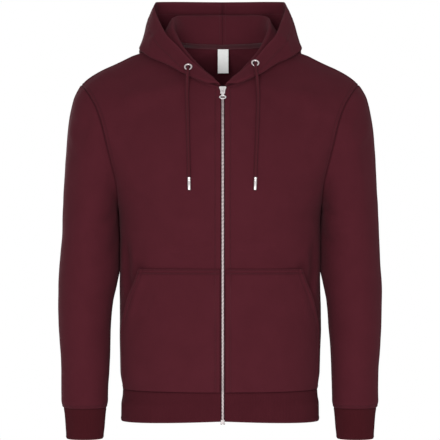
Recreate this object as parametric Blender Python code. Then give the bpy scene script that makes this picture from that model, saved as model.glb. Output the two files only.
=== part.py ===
"""Zip up hoodie with the hood down, filled out as when it is worn.

Metres, +Z up. The origin lies between the shoulders at the height of their inner ends.
The front faces -Y and the wearer's left is +X. Every piece is shaped for the left side;
`place` mirrors it for the right side and then sets the slight lean of the centre line.
"""

from math import cos, pi, radians, sin

import bmesh
import bpy
import numpy as np

# Cloth and seams
CLOTH = 0.0020
HOOD_CLOTH = 0.0024
RIB = 0.0026
SEAM_GAP = 0.0003
SAME_POINT = 1e-6
CENTRE_LEAN = 0.005  # the zip stands this far to the wearer's left of the middle
LEAN_REACH = 0.20

# Torso: the rows of the panels go up from the hem seam (level 0) past the underarm
# (level 1) to the shoulder seam (level 2), and down through the hem band to level -1.
FRONT_NECK_LEVEL = 1.72
BACK_NECK_LEVEL = 1.82
SQUARENESS = 0.86
SHOULDER_ROUND = 0.10
ZIP_HALF_GAP = 0.004
HEM_LEVELS = 3
LOW_LEVELS = 9
NECK_STEPS_FRONT, NECK_STEPS_BACK = 10, 8
CHEST_STEPS_FRONT, CHEST_STEPS_BACK = 5, 7
ACROSS = 12

# level, inner edge x, y, z (zip, then neckline), outer edge x, y, z (side, then armhole),
# turn: how many degrees the row bends on its way
FRONT_ROWS = (
    (-1.00, 0.004, -0.1190, -0.6900, 0.1865, 0.000, -0.6970, 90),
    (-0.50, 0.004, -0.1195, -0.6640, 0.1862, 0.000, -0.6665, 90),
    (0.00, 0.004, -0.1180, -0.6370, 0.1832, 0.000, -0.6370, 90),
    (0.10, 0.004, -0.1235, -0.6050, 0.1880, 0.000, -0.6050, 90),
    (0.35, 0.004, -0.1265, -0.5250, 0.1890, 0.000, -0.5250, 90),
    (0.65, 0.004, -0.1270, -0.4300, 0.1888, 0.000, -0.4300, 90),
    (0.85, 0.004, -0.1290, -0.3650, 0.1888, 0.000, -0.3650, 90),
    (1.00, 0.004, -0.1310, -0.3170, 0.1895, 0.000, -0.3170, 90),
    (1.15, 0.004, -0.1325, -0.2650, 0.1902, -0.034, -0.2880, 84),
    (1.30, 0.004, -0.1315, -0.2150, 0.1938, -0.060, -0.2500, 75),
    (1.45, 0.004, -0.1265, -0.1650, 0.2022, -0.072, -0.2130, 66),
    (1.60, 0.004, -0.1150, -0.1150, 0.2115, -0.074, -0.1760, 59),
    (1.72, 0.004, -0.0980, -0.0745, 0.2205, -0.069, -0.1420, 53),
    (1.80, 0.040, -0.0870, -0.0610, 0.2300, -0.059, -0.1150, 49),
    (1.88, 0.076, -0.0600, -0.0370, 0.2415, -0.045, -0.0925, 46),
    (1.95, 0.098, -0.0300, -0.0050, 0.2530, -0.025, -0.0755, 43),
    (2.00, 0.108, -0.0020, 0.0175, 0.2615, 0.000, -0.0655, 40),
)
BACK_ROWS = (
    (-1.00, 0.000, 0.1090, -0.6950, 0.1865, 0.000, -0.6970, 90),
    (-0.50, 0.000, 0.1090, -0.6665, 0.1862, 0.000, -0.6665, 90),
    (0.00, 0.000, 0.1080, -0.6370, 0.1832, 0.000, -0.6370, 90),
    (0.10, 0.000, 0.1125, -0.6050, 0.1880, 0.000, -0.6050, 90),
    (0.35, 0.000, 0.1090, -0.5250, 0.1890, 0.000, -0.5250, 90),
    (0.65, 0.000, 0.1050, -0.4300, 0.1888, 0.000, -0.4300, 90),
    (0.85, 0.000, 0.1090, -0.3650, 0.1888, 0.000, -0.3650, 90),
    (1.00, 0.000, 0.1140, -0.3170, 0.1895, 0.000, -0.3170, 90),
    (1.15, 0.000, 0.1175, -0.2620, 0.1910, 0.030, -0.2880, 84),
    (1.30, 0.000, 0.1185, -0.2080, 0.1965, 0.057, -0.2500, 76),
    (1.45, 0.000, 0.1170, -0.1520, 0.2055, 0.070, -0.2120, 68),
    (1.60, 0.000, 0.1100, -0.0950, 0.2155, 0.071, -0.1740, 61),
    (1.72, 0.000, 0.0950, -0.0400, 0.2250, 0.064, -0.1410, 55),
    (1.82, 0.000, 0.0640, 0.0120, 0.2355, 0.052, -0.1130, 50),
    (1.90, 0.048, 0.0560, 0.0140, 0.2455, 0.038, -0.0915, 46),
    (1.96, 0.088, 0.0330, 0.0165, 0.2550, 0.021, -0.0755, 43),
    (2.00, 0.108, -0.0020, 0.0175, 0.2615, 0.000, -0.0655, 40),
)

# Sleeve below the armpit: height, outermost x, innermost x, foremost y, rearmost y
SLEEVE_SECTIONS = (
    (-0.3600, 0.2985, 0.1903, -0.0780, 0.0650),
    (-0.4050, 0.3015, 0.1900, -0.0780, 0.0600),
    (-0.4350, 0.3035, 0.1945, -0.0770, 0.0560),
    (-0.4700, 0.3040, 0.2000, -0.0760, 0.0510),
    (-0.5130, 0.3030, 0.2040, -0.0740, 0.0450),
    (-0.5700, 0.3000, 0.2065, -0.0700, 0.0380),
    (-0.6250, 0.2975, 0.2090, -0.0670, 0.0310),
    (-0.6560, 0.2962, 0.2105, -0.0650, 0.0265),
    (-0.6720, 0.2935, 0.2130, -0.0610, 0.0225),
)
CUFF_SECTIONS = (
    (-0.6720, 0.2935, 0.2130, -0.0610, 0.0225),
    (-0.6850, 0.2915, 0.2145, -0.0595, 0.0200),
    (-0.7100, 0.2895, 0.2165, -0.0590, 0.0165),
    (-0.7300, 0.2880, 0.2190, -0.0580, 0.0140),
)
CAP_RINGS = (0.06, 0.15, 0.29, 0.45, 0.62, 0.80)
CAP_REACH_TOP, CAP_REACH_SIDE, CAP_REACH_UNDER = 0.140, 0.070, 0.016
CAP_END_REACH_TOP, CAP_END_REACH_UNDER = 0.300, 0.070
ROLL_TOP, ROLL_SIDE, ROLL_UNDER = -0.08, 0.55, 0.70

# Hood, lying open round the neck. Its stations go from the zip (0) round the neck to
# the middle of the back (1). Each table gives one line along it: station, x, y, z.
RIDGE = (
    (0.00, 0.0060, -0.0940, -0.0690),
    (0.07, 0.0150, -0.0905, -0.0605),
    (0.14, 0.0265, -0.0840, -0.0520),
    (0.28, 0.0520, -0.0660, -0.0280),
    (0.40, 0.0720, -0.0440, -0.0030),
    (0.50, 0.0860, -0.0200, 0.0220),
    (0.60, 0.0960, 0.0060, 0.0450),
    (0.70, 0.0965, 0.0330, 0.0620),
    (0.80, 0.0850, 0.0580, 0.0730),
    (0.90, 0.0480, 0.0740, 0.0770),
    (1.00, 0.0000, 0.0790, 0.0775),
)
TROUGH = (
    (0.00, 0.0060, -0.1010, -0.0735),
    (0.07, 0.0200, -0.1005, -0.0715),
    (0.14, 0.0360, -0.0975, -0.0665),
    (0.28, 0.0725, -0.0830, -0.0500),
    (0.40, 0.1030, -0.0600, -0.0310),
    (0.50, 0.1300, -0.0350, -0.0150),
    (0.60, 0.1435, 0.0020, 0.0020),
    (0.70, 0.1430, 0.0560, -0.0240),
    (0.80, 0.1170, 0.1030, -0.0750),
    (0.90, 0.0640, 0.1290, -0.1180),
    (1.00, 0.0000, 0.1380, -0.1350),
)
RIM = (
    (0.00, 0.0070, -0.0990, -0.0680),
    (0.07, 0.0175, -0.0970, -0.0590),
    (0.14, 0.0300, -0.0915, -0.0490),
    (0.28, 0.0590, -0.0750, -0.0240),
    (0.40, 0.0810, -0.0560, 0.0020),
    (0.50, 0.0970, -0.0350, 0.0270),
    (0.60, 0.1100, -0.0040, 0.0520),
    (0.70, 0.1225, 0.0420, 0.0850),
    (0.80, 0.1180, 0.0880, 0.0995),
    (0.90, 0.0640, 0.1100, 0.1020),
    (1.00, 0.0000, 0.1160, 0.1020),
)
# station, how far the ridge and the trough are rounded, how much of the fold is there
HOOD_FOLD = (
    (0.00, 0.0020, 0.0025, 0.0),
    (0.05, 0.0024, 0.0030, 0.6),
    (0.11, 0.0030, 0.0040, 1.0),
    (0.19, 0.0033, 0.0047, 1.0),
    (0.48, 0.0050, 0.0070, 1.0),
    (0.70, 0.0060, 0.0100, 1.0),
    (1.00, 0.0080, 0.0160, 1.0),
)
HOOD_SAMPLES = (
    (0, 1, 3),  # from control point, to control point, cells
    (1, 3, 3),
    (3, 4, 4),
    (4, 6, 4),
    (6, 7, 4),
)

# Kangaroo pocket: height, x of its outer edge
POCKET_TOP, POCKET_BOTTOM = -0.410, -0.6355
POCKET_EDGE = (
    (-0.6355, 0.1800),
    (-0.5300, 0.1835),
    (-0.5110, 0.1820),
    (-0.4900, 0.1755),
    (-0.4600, 0.1660),
    (-0.4330, 0.1560),
    (-0.4100, 0.1500),
)
POCKET_INNER_X = 0.0056
POCKET_PUFF = 0.0035
POCKET_LIFT = 0.0005

# Zip
CHAIN_HALF_WIDTH = 0.0032
CHAIN_FRONT, CHAIN_BACK = -0.0002, -0.0026
TAPE_FRONT, TAPE_BACK = -0.0030, -0.0038
TAPE_INNER_X, TAPE_OUTER_X = 0.0035, 0.0150
CHAIN_TOP_Z, CHAIN_FOOT_Z = -0.0805, -0.6860
SLIDER_TOP_Z = -0.0755
SLIDER_OUTLINE = (  # down the zip, half width: wide shoulders, a waist and a flared foot
    (0.0000, 0.0052),
    (0.0010, 0.0066),
    (0.0024, 0.0068),
    (0.0046, 0.0056),
    (0.0080, 0.0044),
    (0.0112, 0.0041),
    (0.0140, 0.0045),
)
SLIDER_FRONT = (0.0008, 0.0022)  # off the cloth's outer face
SLIDER_BACK = (-0.0054, -0.0042)
SLIDER_POST = (0.0004, 0.0034, 0.0024)  # from, to, half width
BRIDGE_HALF_WIDTH = 0.0010
BRIDGE_PROFILE = (  # down the zip, off the cloth
    (0.0012, 0.0016),
    (0.0022, 0.0060),
    (0.0098, 0.0060),
    (0.0110, 0.0016),
    (0.0097, 0.0016),
    (0.0089, 0.0050),
    (0.0033, 0.0050),
    (0.0026, 0.0016),
)
PULL_PIVOT = (0.0048, 0.0036)  # down the zip, off the cloth
PULL_TILT = 7.0  # degrees off the zip, so that its foot clears the chest
PULL_THICK = 0.0012
PULL_STEM = (  # below the pivot, half width
    (-0.0008, 0.0022),
    (0.0000, 0.0027),
    (0.0100, 0.0025),
    (0.0134, 0.0026),
)
PULL_WINDOW = (0.0008, 0.0080, 0.0016)  # from, to, half width
PULL_RING = (0.0184, 0.0042, 0.0066)  # its middle below the pivot, half height, half width
PULL_RING_HOLE = (0.0022, 0.0044)  # half height, half width
PULL_RING_TURNS = (26, 45, 65, 90, 115, 135, 155, 173)  # degrees round one side of the ring
STOP_Z, STOP_HALF_WIDTH, STOP_DEPTH = (-0.6955, -0.6864), 0.0034, (-0.0028, 0.0008)

# Eyelets and drawcord, placed by hand on the front of the hood
EYELET_RADIUS, EYELET_HOLE, EYELET_THICK = 0.0076, 0.0040, 0.0014
EYELETS = (("left", 1, 0.268, 0.0072), ("right", -1, 0.254, 0.0150))  # station, below rim
EYELET_LIFT = 0.0009
CORD_DIAMETER, CORD_STEP = 0.0055, 0.0110
CORD_ROUTES = {  # the middle of each free end, from its eyelet down to its tip
    "left": (
        (0.0652, -0.0821, -0.0293),
        (0.0653, -0.0853, -0.0306),
        (0.0654, -0.0883, -0.0331),
        (0.0655, -0.0902, -0.0361),
        (0.0656, -0.0919, -0.0402),
        (0.0660, -0.0941, -0.0447),
        (0.0670, -0.0965, -0.0502),
        (0.0682, -0.0979, -0.0567),
        (0.0692, -0.0988, -0.0690),
        (0.0699, -0.0995, -0.0800),
        (0.0702, -0.1015, -0.0920),
        (0.0700, -0.1059, -0.1050),
        (0.0696, -0.1118, -0.1200),
        (0.0689, -0.1194, -0.1400),
        (0.0676, -0.1259, -0.1700),
        (0.0662, -0.1301, -0.2000),
        (0.0647, -0.1325, -0.2420),
    ),
    "right": (
        (-0.0588, -0.0876, -0.0370),
        (-0.0590, -0.0908, -0.0381),
        (-0.0592, -0.0938, -0.0406),
        (-0.0593, -0.0958, -0.0436),
        (-0.0595, -0.0973, -0.0470),
        (-0.0597, -0.0988, -0.0515),
        (-0.0600, -0.0995, -0.0567),
        (-0.0603, -0.0997, -0.0680),
        (-0.0604, -0.0999, -0.0800),
        (-0.0603, -0.1013, -0.0920),
        (-0.0599, -0.1056, -0.1050),
        (-0.0594, -0.1117, -0.1200),
        (-0.0589, -0.1195, -0.1400),
        (-0.0581, -0.1258, -0.1700),
        (-0.0573, -0.1300, -0.2000),
        (-0.0565, -0.1325, -0.2420),
    ),
}
TIP_GAP = 0.0003
TIP_PROFILE = (  # along the tip, radius
    (0.0000, 0.0024),
    (0.0010, 0.0030),
    (0.0230, 0.0030),
    (0.0240, 0.0024),
)
TIP_SIDES = 12

# Neck tape and label
NECK_TAPE_BELOW, NECK_TAPE_ABOVE = 0.006, 0.003
NECK_TAPE_GAP, NECK_TAPE_THICK = 0.0012, 0.0009
LABEL_CENTRE, LABEL_SIZE = (0.0010, 0.0560, -0.0172), (0.0205, 0.0008, 0.0460)

COLOURS = {  # slot: base colour, roughness, metallic
    "fleece": ((0.076, 0.012, 0.021), 0.92, 0.0),
    "rib": ((0.060, 0.010, 0.017), 0.94, 0.0),
    "tape": ((0.050, 0.009, 0.014), 0.90, 0.0),
    "cord": ((0.070, 0.012, 0.020), 0.88, 0.0),
    "label": ((0.850, 0.850, 0.840), 0.80, 0.0),
    "metal": ((0.700, 0.700, 0.710), 0.28, 1.0),
}


# ---------------------------------------------------------------- curves and tables


def read_table(table, at):
    """The table's columns at the keys `at`, on a smooth curve that never overshoots."""
    table = np.asarray(table, float)
    keys, rows = table[:, 0], table[:, 1:]
    step = np.diff(keys)[:, None]
    slope = np.diff(rows, axis=0) / step
    tangent = np.zeros_like(rows)
    tangent[0], tangent[-1] = slope[0], slope[-1]
    before, after = slope[:-1], slope[1:]
    rising = before * after > 0
    weight_a = 2 * step[1:] + step[:-1]
    weight_b = step[1:] + 2 * step[:-1]
    safe_before = np.where(rising, before, 1.0)
    safe_after = np.where(rising, after, 1.0)
    mean = (weight_a + weight_b) / (weight_a / safe_before + weight_b / safe_after)
    tangent[1:-1] = np.where(rising, mean, 0.0)
    at = np.atleast_1d(np.asarray(at, float))
    cell = np.clip(np.searchsorted(keys, at, side="right") - 1, 0, len(keys) - 2)
    width = step[cell]
    s = ((at - keys[cell]) / width[:, 0])[:, None]
    return hermite(rows[cell], rows[cell + 1], tangent[cell] * width, tangent[cell + 1] * width, s)


def hermite(start, end, leave, arrive, s):
    """The cubic from start to end with those end tangents, at s from 0 to 1."""
    s2, s3 = s * s, s * s * s
    return (
        start * (2 * s3 - 3 * s2 + 1)
        + leave * (s3 - 2 * s2 + s)
        + end * (3 * s2 - 2 * s3)
        + arrive * (s3 - s2)
    )


def unit(vectors):
    """The same vectors with length 1."""
    vectors = np.asarray(vectors, float)
    length = np.linalg.norm(vectors, axis=-1, keepdims=True)
    return vectors / np.maximum(length, 1e-12)


def grid_normals(grid, flip=False):
    """Unit normals of a grid of points, from its rows and columns."""
    normals = unit(np.cross(np.gradient(grid, axis=1), np.gradient(grid, axis=0)))
    return -normals if flip else normals


# ---------------------------------------------------------------- making objects


def make_material(slot):
    colour, roughness, metallic = COLOURS[slot]
    material = bpy.data.materials.get(slot)
    if material:
        return material
    material = bpy.data.materials.new(slot)
    material.use_nodes = True
    shader = material.node_tree.nodes["Principled BSDF"]
    shader.inputs["Base Color"].default_value = (*colour, 1.0)
    shader.inputs["Roughness"].default_value = roughness
    shader.inputs["Metallic"].default_value = metallic
    material.diffuse_color = (*colour, 1.0)
    return material


def place(points, side):
    """Points of the left side, mirrored if side is -1, with the lean of the centre line."""
    points = np.array(points, float)
    points[..., 0] *= side
    share = np.clip(points[..., 0] / LEAN_REACH, -1, 1)
    points[..., 0] += CENTRE_LEAN * (1 - share**2) ** 2
    return points


def add_mesh(name, points, faces, slot, smooth=True):
    """A closed mesh object, with its faces turned to point outwards."""
    mesh = bpy.data.meshes.new(name)
    mesh.from_pydata([tuple(p) for p in np.reshape(points, (-1, 3))], [], faces)
    shape = bmesh.new()
    shape.from_mesh(mesh)
    bmesh.ops.remove_doubles(shape, verts=shape.verts[:], dist=SAME_POINT)
    bmesh.ops.recalc_face_normals(shape, faces=shape.faces[:])
    if shape.calc_volume(signed=True) < 0:
        bmesh.ops.reverse_faces(shape, faces=shape.faces[:])
    shape.to_mesh(mesh)
    shape.free()
    if smooth:
        mesh.shade_smooth()
        mesh.set_sharp_from_angle(angle=radians(50))
    mesh.materials.append(make_material(slot))
    thing = bpy.data.objects.new(name, mesh)
    bpy.context.scene.collection.objects.link(thing)
    return thing


def grid_faces(rows, columns, closed=False):
    """Quads of a grid of points, `closed` where the last column meets the first."""
    across = columns if closed else columns - 1
    return [
        (r * columns + c, r * columns + (c + 1) % columns,
         (r + 1) * columns + (c + 1) % columns, (r + 1) * columns + c)
        for r in range(rows - 1)
        for c in range(across)
    ]


def add_wall(name, outer, inner, faces, slot):
    """A cloth wall between two like sheets of points, closed along every free edge."""
    outer, inner = np.reshape(outer, (-1, 3)), np.reshape(inner, (-1, 3))
    count = len(outer)
    walls = [tuple(face) for face in faces]
    walls += [tuple(count + k for k in reversed(face)) for face in faces]
    edges = {(a, b) for face in faces for a, b in zip(face, face[1:] + face[:1])}
    walls += [(b, a, count + a, count + b) for a, b in edges if (b, a) not in edges]
    return add_mesh(name, np.concatenate([outer, inner]), sorted(walls), slot)


# ---------------------------------------------------------------- torso


def read_rows(rows, levels):
    """The rows at those levels; their inner edge has a corner where the neckline starts."""
    levels = np.atleast_1d(np.asarray(levels, float))
    table = read_table(rows, levels)
    neck = FRONT_NECK_LEVEL if rows is FRONT_ROWS else BACK_NECK_LEVEL
    first = [row for row in rows if row[0] <= neck]
    above = levels > neck
    table[~above, 0:3] = read_table(first, levels[~above])[:, 0:3]
    if above.any():
        neckline = [row for row in rows if row[0] >= neck]
        table[above, 0:3] = read_table(neckline, levels[above])[:, 0:3]
    return table


def torso_grid(rows, levels, across=None):
    """Points of half a torso panel: a row for each level, from its inner to its outer edge."""
    across = np.linspace(0, 1, ACROSS + 1) if across is None else across
    table = read_rows(rows, levels)
    inner, outer = table[:, None, 0:3], table[:, None, 3:6]
    turn = np.radians(np.minimum(table[:, 6], 90))[:, None]
    angle = across * turn
    side = (np.sin(angle) / np.sin(turn)) ** SQUARENESS
    back = np.maximum(np.cos(turn), 0) ** SQUARENESS
    depth = (np.maximum(np.cos(angle), 0) ** SQUARENESS - back) / (1 - back)
    grid = inner + (outer - inner) * side[..., None]
    near_top = np.clip((np.atleast_1d(levels) - FRONT_NECK_LEVEL) / (2 - FRONT_NECK_LEVEL), 0, 1)
    grid[..., 2] += SHOULDER_ROUND * near_top[:, None] * side**6 * (1 - side)
    grid[..., 1] = outer[..., 1] + (inner[..., 1] - outer[..., 1]) * depth
    return grid


def levels_of(neck_level, chest_steps, neck_steps):
    """Levels from the hem seam to the shoulder seam, with the underarm and neck among them."""
    low = np.linspace(0, 1, LOW_LEVELS + 1)
    chest = np.linspace(1, neck_level, chest_steps + 1)
    neck = np.linspace(neck_level, 2, neck_steps + 1)
    return np.concatenate([low, chest[1:], neck[1:]])


class Torso:
    """The outer points and normals of a half front, a half back and a half hem band."""

    def __init__(self):
        self.front_levels = levels_of(FRONT_NECK_LEVEL, CHEST_STEPS_FRONT, NECK_STEPS_FRONT)
        self.back_levels = levels_of(BACK_NECK_LEVEL, CHEST_STEPS_BACK, NECK_STEPS_BACK)
        self.front = torso_grid(FRONT_ROWS, self.front_levels)
        self.back = torso_grid(BACK_ROWS, self.back_levels)
        self.front_normals = grid_normals(self.front)
        self.back_normals = grid_normals(self.back, flip=True)
        self.share_normals()

    def share_normals(self):
        """Both panels take the mean normal along the side seam and the shoulder seam."""
        low = slice(0, LOW_LEVELS + 1)
        side = unit(self.front_normals[low, -1] + self.back_normals[low, -1])
        self.front_normals[low, -1] = self.back_normals[low, -1] = side
        self.back[-1] = self.front[-1]
        shoulder = unit(self.front_normals[-1] + self.back_normals[-1])
        self.front_normals[-1] = self.back_normals[-1] = shoulder
        self.back_normals[: LOW_LEVELS + CHEST_STEPS_BACK + 1, 0, 0] = 0.0
        self.back_normals = unit(self.back_normals)


def trimmed(grid):
    """A half panel's points, drawn in by half a seam gap at its side, shoulder and hem."""
    grid = grid.copy()
    low = slice(0, LOW_LEVELS + 1)
    grid[low, -1] += unit(grid[low, -2] - grid[low, -1]) * SEAM_GAP / 2
    grid[-1] += unit(grid[-2] - grid[-1]) * SEAM_GAP / 2
    grid[0] += unit(grid[1] - grid[0]) * SEAM_GAP / 2
    return grid


def add_fronts(torso):
    for name, side in (("front_left", 1), ("front_right", -1)):
        outer = trimmed(torso.front)
        inner = outer - torso.front_normals * CLOTH
        faces = grid_faces(*outer.shape[:2])
        add_wall(name, place(outer, side), place(inner, side), faces, "fleece")


def add_back(torso):
    """The back in one piece: both halves share their points down the middle."""
    half = trimmed(torso.back)
    rows, columns = half.shape[:2]
    shared_rows = LOW_LEVELS + CHEST_STEPS_BACK + 1
    faces = grid_faces(rows, columns)
    count = rows * columns
    twin = {r * columns: r * columns for r in range(shared_rows)}
    mirrored = [tuple(twin.get(k, k + count) for k in reversed(face)) for face in faces]
    sheets = []
    for sheet in (half, half - torso.back_normals * CLOTH):
        sheets.append(np.concatenate([place(sheet, 1), place(sheet, -1)]).reshape(-1, 3))
    used = sorted({k for face in faces + mirrored for k in face})
    number = {k: n for n, k in enumerate(used)}
    faces = [tuple(number[k] for k in face) for face in faces + mirrored]
    add_wall("back", sheets[0][used], sheets[1][used], faces, "fleece")


def add_hem_band(torso):
    """The rib band: one strip from the zip round the back to the zip."""
    levels = np.linspace(-1, 0, HEM_LEVELS + 1)
    front, back = torso_grid(FRONT_ROWS, levels), torso_grid(BACK_ROWS, levels)
    front_normals, back_normals = grid_normals(front), grid_normals(back, flip=True)
    side = unit(front_normals[:, -1] + back_normals[:, -1])
    front_normals[:, -1] = back_normals[:, -1] = side
    front_normals[-1], back_normals[-1] = torso.front_normals[0], torso.back_normals[0]
    back_normals[:, 0, 0] = 0.0
    quarters = ((front, front_normals), (back[:, -2::-1], back_normals[:, -2::-1]))
    outer = np.concatenate([q[0] for q in quarters], axis=1)
    normals = unit(np.concatenate([q[1] for q in quarters], axis=1))
    outer[-1] += unit(outer[-2] - outer[-1]) * SEAM_GAP / 2
    inner = outer - normals * RIB
    sheets = []
    for sheet in (outer, inner):
        left, right = place(sheet, 1), place(sheet, -1)
        sheets.append(np.concatenate([left, right[:, -2::-1]], axis=1))
    add_wall("hem_band", *sheets, grid_faces(*sheets[0].shape[:2]), "rib")


# ---------------------------------------------------------------- sleeves


def ellipse_ring(section, turns):
    """Points round one sleeve section: from the outside to the front, inside and back."""
    height, outer_x, inner_x, front_y, back_y = section
    middle = np.array([(outer_x + inner_x) / 2, (front_y + back_y) / 2, height])
    wide, deep = (outer_x - inner_x) / 2, (back_y - front_y) / 2
    angle = 2 * pi * turns
    ring = np.stack([wide * np.cos(angle), -deep * np.sin(angle), 0 * angle], axis=1)
    return middle + ring


def armhole(torso):
    """The armhole's points, normals and directions off the panels, from the shoulder tip."""
    upper = slice(LOW_LEVELS, None)
    front, back = torso.front[upper, -1], torso.back[upper, -1]
    front_n, back_n = torso.front_normals[upper, -1], torso.back_normals[upper, -1]
    points = np.concatenate([front[::-1], back[1:-1]])
    normals = np.concatenate([front_n[::-1], back_n[1:-1]])
    near = np.concatenate([torso.front[upper, -2][::-1], torso.back[upper, -2][1:-1]])
    near[len(front) - 1] = torso.front[LOW_LEVELS - 1, -1]
    return points, normals, off_edge(points, normals, near, closed=True)


def off_edge(points, normals, near, closed=False):
    """Unit directions that leave a panel square to its edge, in its own surface."""
    if closed:
        along = np.roll(points, -1, axis=0) - np.roll(points, 1, axis=0)
    else:
        along = np.gradient(points, axis=0)
    away = unit(np.cross(along, normals))
    turned = np.sum(away * (points - near), axis=1, keepdims=True)
    return np.where(turned < 0, -away, away)


def sleeve_rings(torso):
    """Outer points of the sleeve, ring by ring from the armhole to the cuff."""
    points, normals, away = armhole(torso)
    length = np.linalg.norm(np.roll(points, -1, axis=0) - points, axis=1)
    turns = np.concatenate([[0], np.cumsum(length)[:-1]]) / length.sum()
    under = (1 - np.cos(2 * pi * turns)) / 2
    side = np.abs(np.sin(2 * pi * turns))
    start = points + away * SEAM_GAP
    end = ellipse_ring(SLEEVE_SECTIONS[0], turns)
    follow = ellipse_ring(SLEEVE_SECTIONS[1], turns)
    reach = CAP_REACH_TOP + (CAP_REACH_UNDER - CAP_REACH_TOP) * under
    reach = reach + (CAP_REACH_SIDE - (CAP_REACH_TOP + CAP_REACH_UNDER) / 2) * side
    roll = ROLL_TOP + (ROLL_UNDER - ROLL_TOP) * under
    roll = roll + (ROLL_SIDE - (ROLL_TOP + ROLL_UNDER) / 2) * side
    leave = unit(away * (1 - roll)[:, None] + normals * roll[:, None]) * reach[:, None]
    arrive_reach = CAP_END_REACH_TOP + (CAP_END_REACH_UNDER - CAP_END_REACH_TOP) * under
    arrive = unit(follow - end) * arrive_reach[:, None]
    rings = [start]
    rings += [hermite(start, end, leave, arrive, s) for s in CAP_RINGS]
    rings += [ellipse_ring(section, turns) for section in SLEEVE_SECTIONS]
    return np.array(rings), normals


def add_tube(name, rings, normals, thick, side, slot):
    faces = grid_faces(*rings.shape[:2], closed=True)
    add_wall(name, place(rings, side), place(rings - normals * thick, side), faces, slot)


def ring_normals(rings, first_normals):
    """Normals of closed rings, out of the tube; the first ring's are given."""
    around = np.roll(rings, -1, axis=1) - np.roll(rings, 1, axis=1)
    normals = unit(np.cross(around, np.gradient(rings, axis=0)))
    outwards = rings[-1] - rings[-1].mean(axis=0)
    if np.sum(normals[-1] * outwards) < 0:
        normals = -normals
    normals[0] = first_normals
    return normals


def turns_of(ring, section):
    """Where each point of a ring lies round its sleeve section, in turns."""
    _, outer_x, inner_x, front_y, back_y = section
    spoke = ring - ring.mean(axis=0)
    return np.arctan2(-spoke[:, 1] / (back_y - front_y), spoke[:, 0] / (outer_x - inner_x)) / (2 * pi)


def add_sleeves(torso):
    sleeve, first_normals = sleeve_rings(torso)
    sleeve_normals = ring_normals(sleeve, first_normals)
    turns = turns_of(sleeve[-1], CUFF_SECTIONS[0])
    cuff = np.array([ellipse_ring(section, turns) for section in CUFF_SECTIONS])
    cuff[0] = sleeve[-1]
    cuff_normals = ring_normals(cuff, sleeve_normals[-1])
    sleeve[-1] += unit(sleeve[-2] - sleeve[-1]) * SEAM_GAP / 2
    cuff[0] += unit(cuff[1] - cuff[0]) * SEAM_GAP / 2
    for name, side in (("left", 1), ("right", -1)):
        add_tube(f"sleeve_{name}", sleeve, sleeve_normals, CLOTH, side, "fleece")
        add_tube(f"cuff_{name}", cuff, cuff_normals, RIB, side, "rib")


# ---------------------------------------------------------------- hood


def neckline(torso):
    """The neck seam's points, normals and directions off the panels, zip to mid back."""
    front = slice(LOW_LEVELS + CHEST_STEPS_FRONT, None)
    back = slice(LOW_LEVELS + CHEST_STEPS_BACK, None)
    points = np.concatenate([torso.front[front, 0], torso.back[back, 0][-2::-1]])
    normals = np.concatenate([torso.front_normals[front, 0], torso.back_normals[back, 0][-2::-1]])
    near = np.concatenate([torso.front[front, 1], torso.back[back, 1][-2::-1]])
    near[0] = torso.front[LOW_LEVELS + CHEST_STEPS_FRONT - 1, 0]
    near[-1] = torso.back[LOW_LEVELS + CHEST_STEPS_BACK - 1, 0]
    return points, normals, off_edge(points, normals, near)


def hood_controls(start, station):
    """The eight points that one cross-section of the hood passes through."""
    ridge = read_table(RIDGE, station)[0]
    trough = read_table(TROUGH, station)[0]
    rim = read_table(RIM, station)[0]
    ridge_round, trough_round, share = read_table(HOOD_FOLD, station)[0]
    out = np.array([sin(pi * station), -cos(pi * station), 0.0])
    up = np.array([0.0, 0.0, 1.0])
    folded = np.array([
        start,
        ridge - (out + up) * ridge_round,
        ridge,
        ridge + (out - up) * ridge_round,
        trough + (up - out) * trough_round,
        trough,
        trough + (up + out) * trough_round,
        rim,
    ])
    straight = start + (rim - start) * np.linspace(0, 1, len(folded))[:, None]
    return straight + (folded - straight) * share


def curve_through(points, samples):
    """A smooth curve through the points, read between the pairs that samples names."""
    chord = np.linalg.norm(np.diff(points, axis=0), axis=1)
    keys = np.concatenate([[0], np.cumsum(np.maximum(chord, 1e-5) ** 0.5)])
    slope = np.diff(points, axis=0) / np.diff(keys)[:, None]
    tangent = np.zeros_like(points)
    tangent[0], tangent[-1] = slope[0], slope[-1]
    step = np.diff(keys)[:, None]
    tangent[1:-1] = (slope[:-1] * step[1:] + slope[1:] * step[:-1]) / (step[1:] + step[:-1])
    at = [keys[0]]
    for first, last, cells in samples:
        at += list(np.linspace(keys[first], keys[last], cells + 1)[1:])
    at = np.array(at)
    cell = np.clip(np.searchsorted(keys, at, side="right") - 1, 0, len(keys) - 2)
    width = step[cell]
    s = ((at - keys[cell]) / width[:, 0])[:, None]
    return hermite(points[cell], points[cell + 1], tangent[cell] * width, tangent[cell + 1] * width, s)


def hood_grid(torso):
    """Outer points of half the hood (a row for each station) and their normals."""
    points, seam_normals, away = neckline(torso)
    stations = np.linspace(0, 1, len(points))
    starts = points + away * SEAM_GAP
    grid = np.array([
        curve_through(hood_controls(start, station), HOOD_SAMPLES)
        for start, station in zip(starts, stations)
    ])
    grid[-1, :, 0] = 0.0
    normals = grid_normals(grid, flip=True)
    if np.sum(normals[:, 0] * seam_normals) < 0:
        normals = -normals
    normals[:, 0] = seam_normals
    normals[-1, :, 0] = 0.0
    return grid, unit(normals)


def add_hood(torso):
    grid, normals = hood_grid(torso)
    outer = grid.copy()
    inner = outer - normals * HOOD_CLOTH
    outer[-1, :, 0] += SEAM_GAP / 2
    inner[-1, :, 0] = SEAM_GAP / 2
    faces = grid_faces(*grid.shape[:2])
    for name, side in (("hood_left", 1), ("hood_right", -1)):
        add_wall(name, place(outer, side), place(inner, side), faces, "fleece")
    return grid, normals


# ---------------------------------------------------------------- pockets


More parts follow.
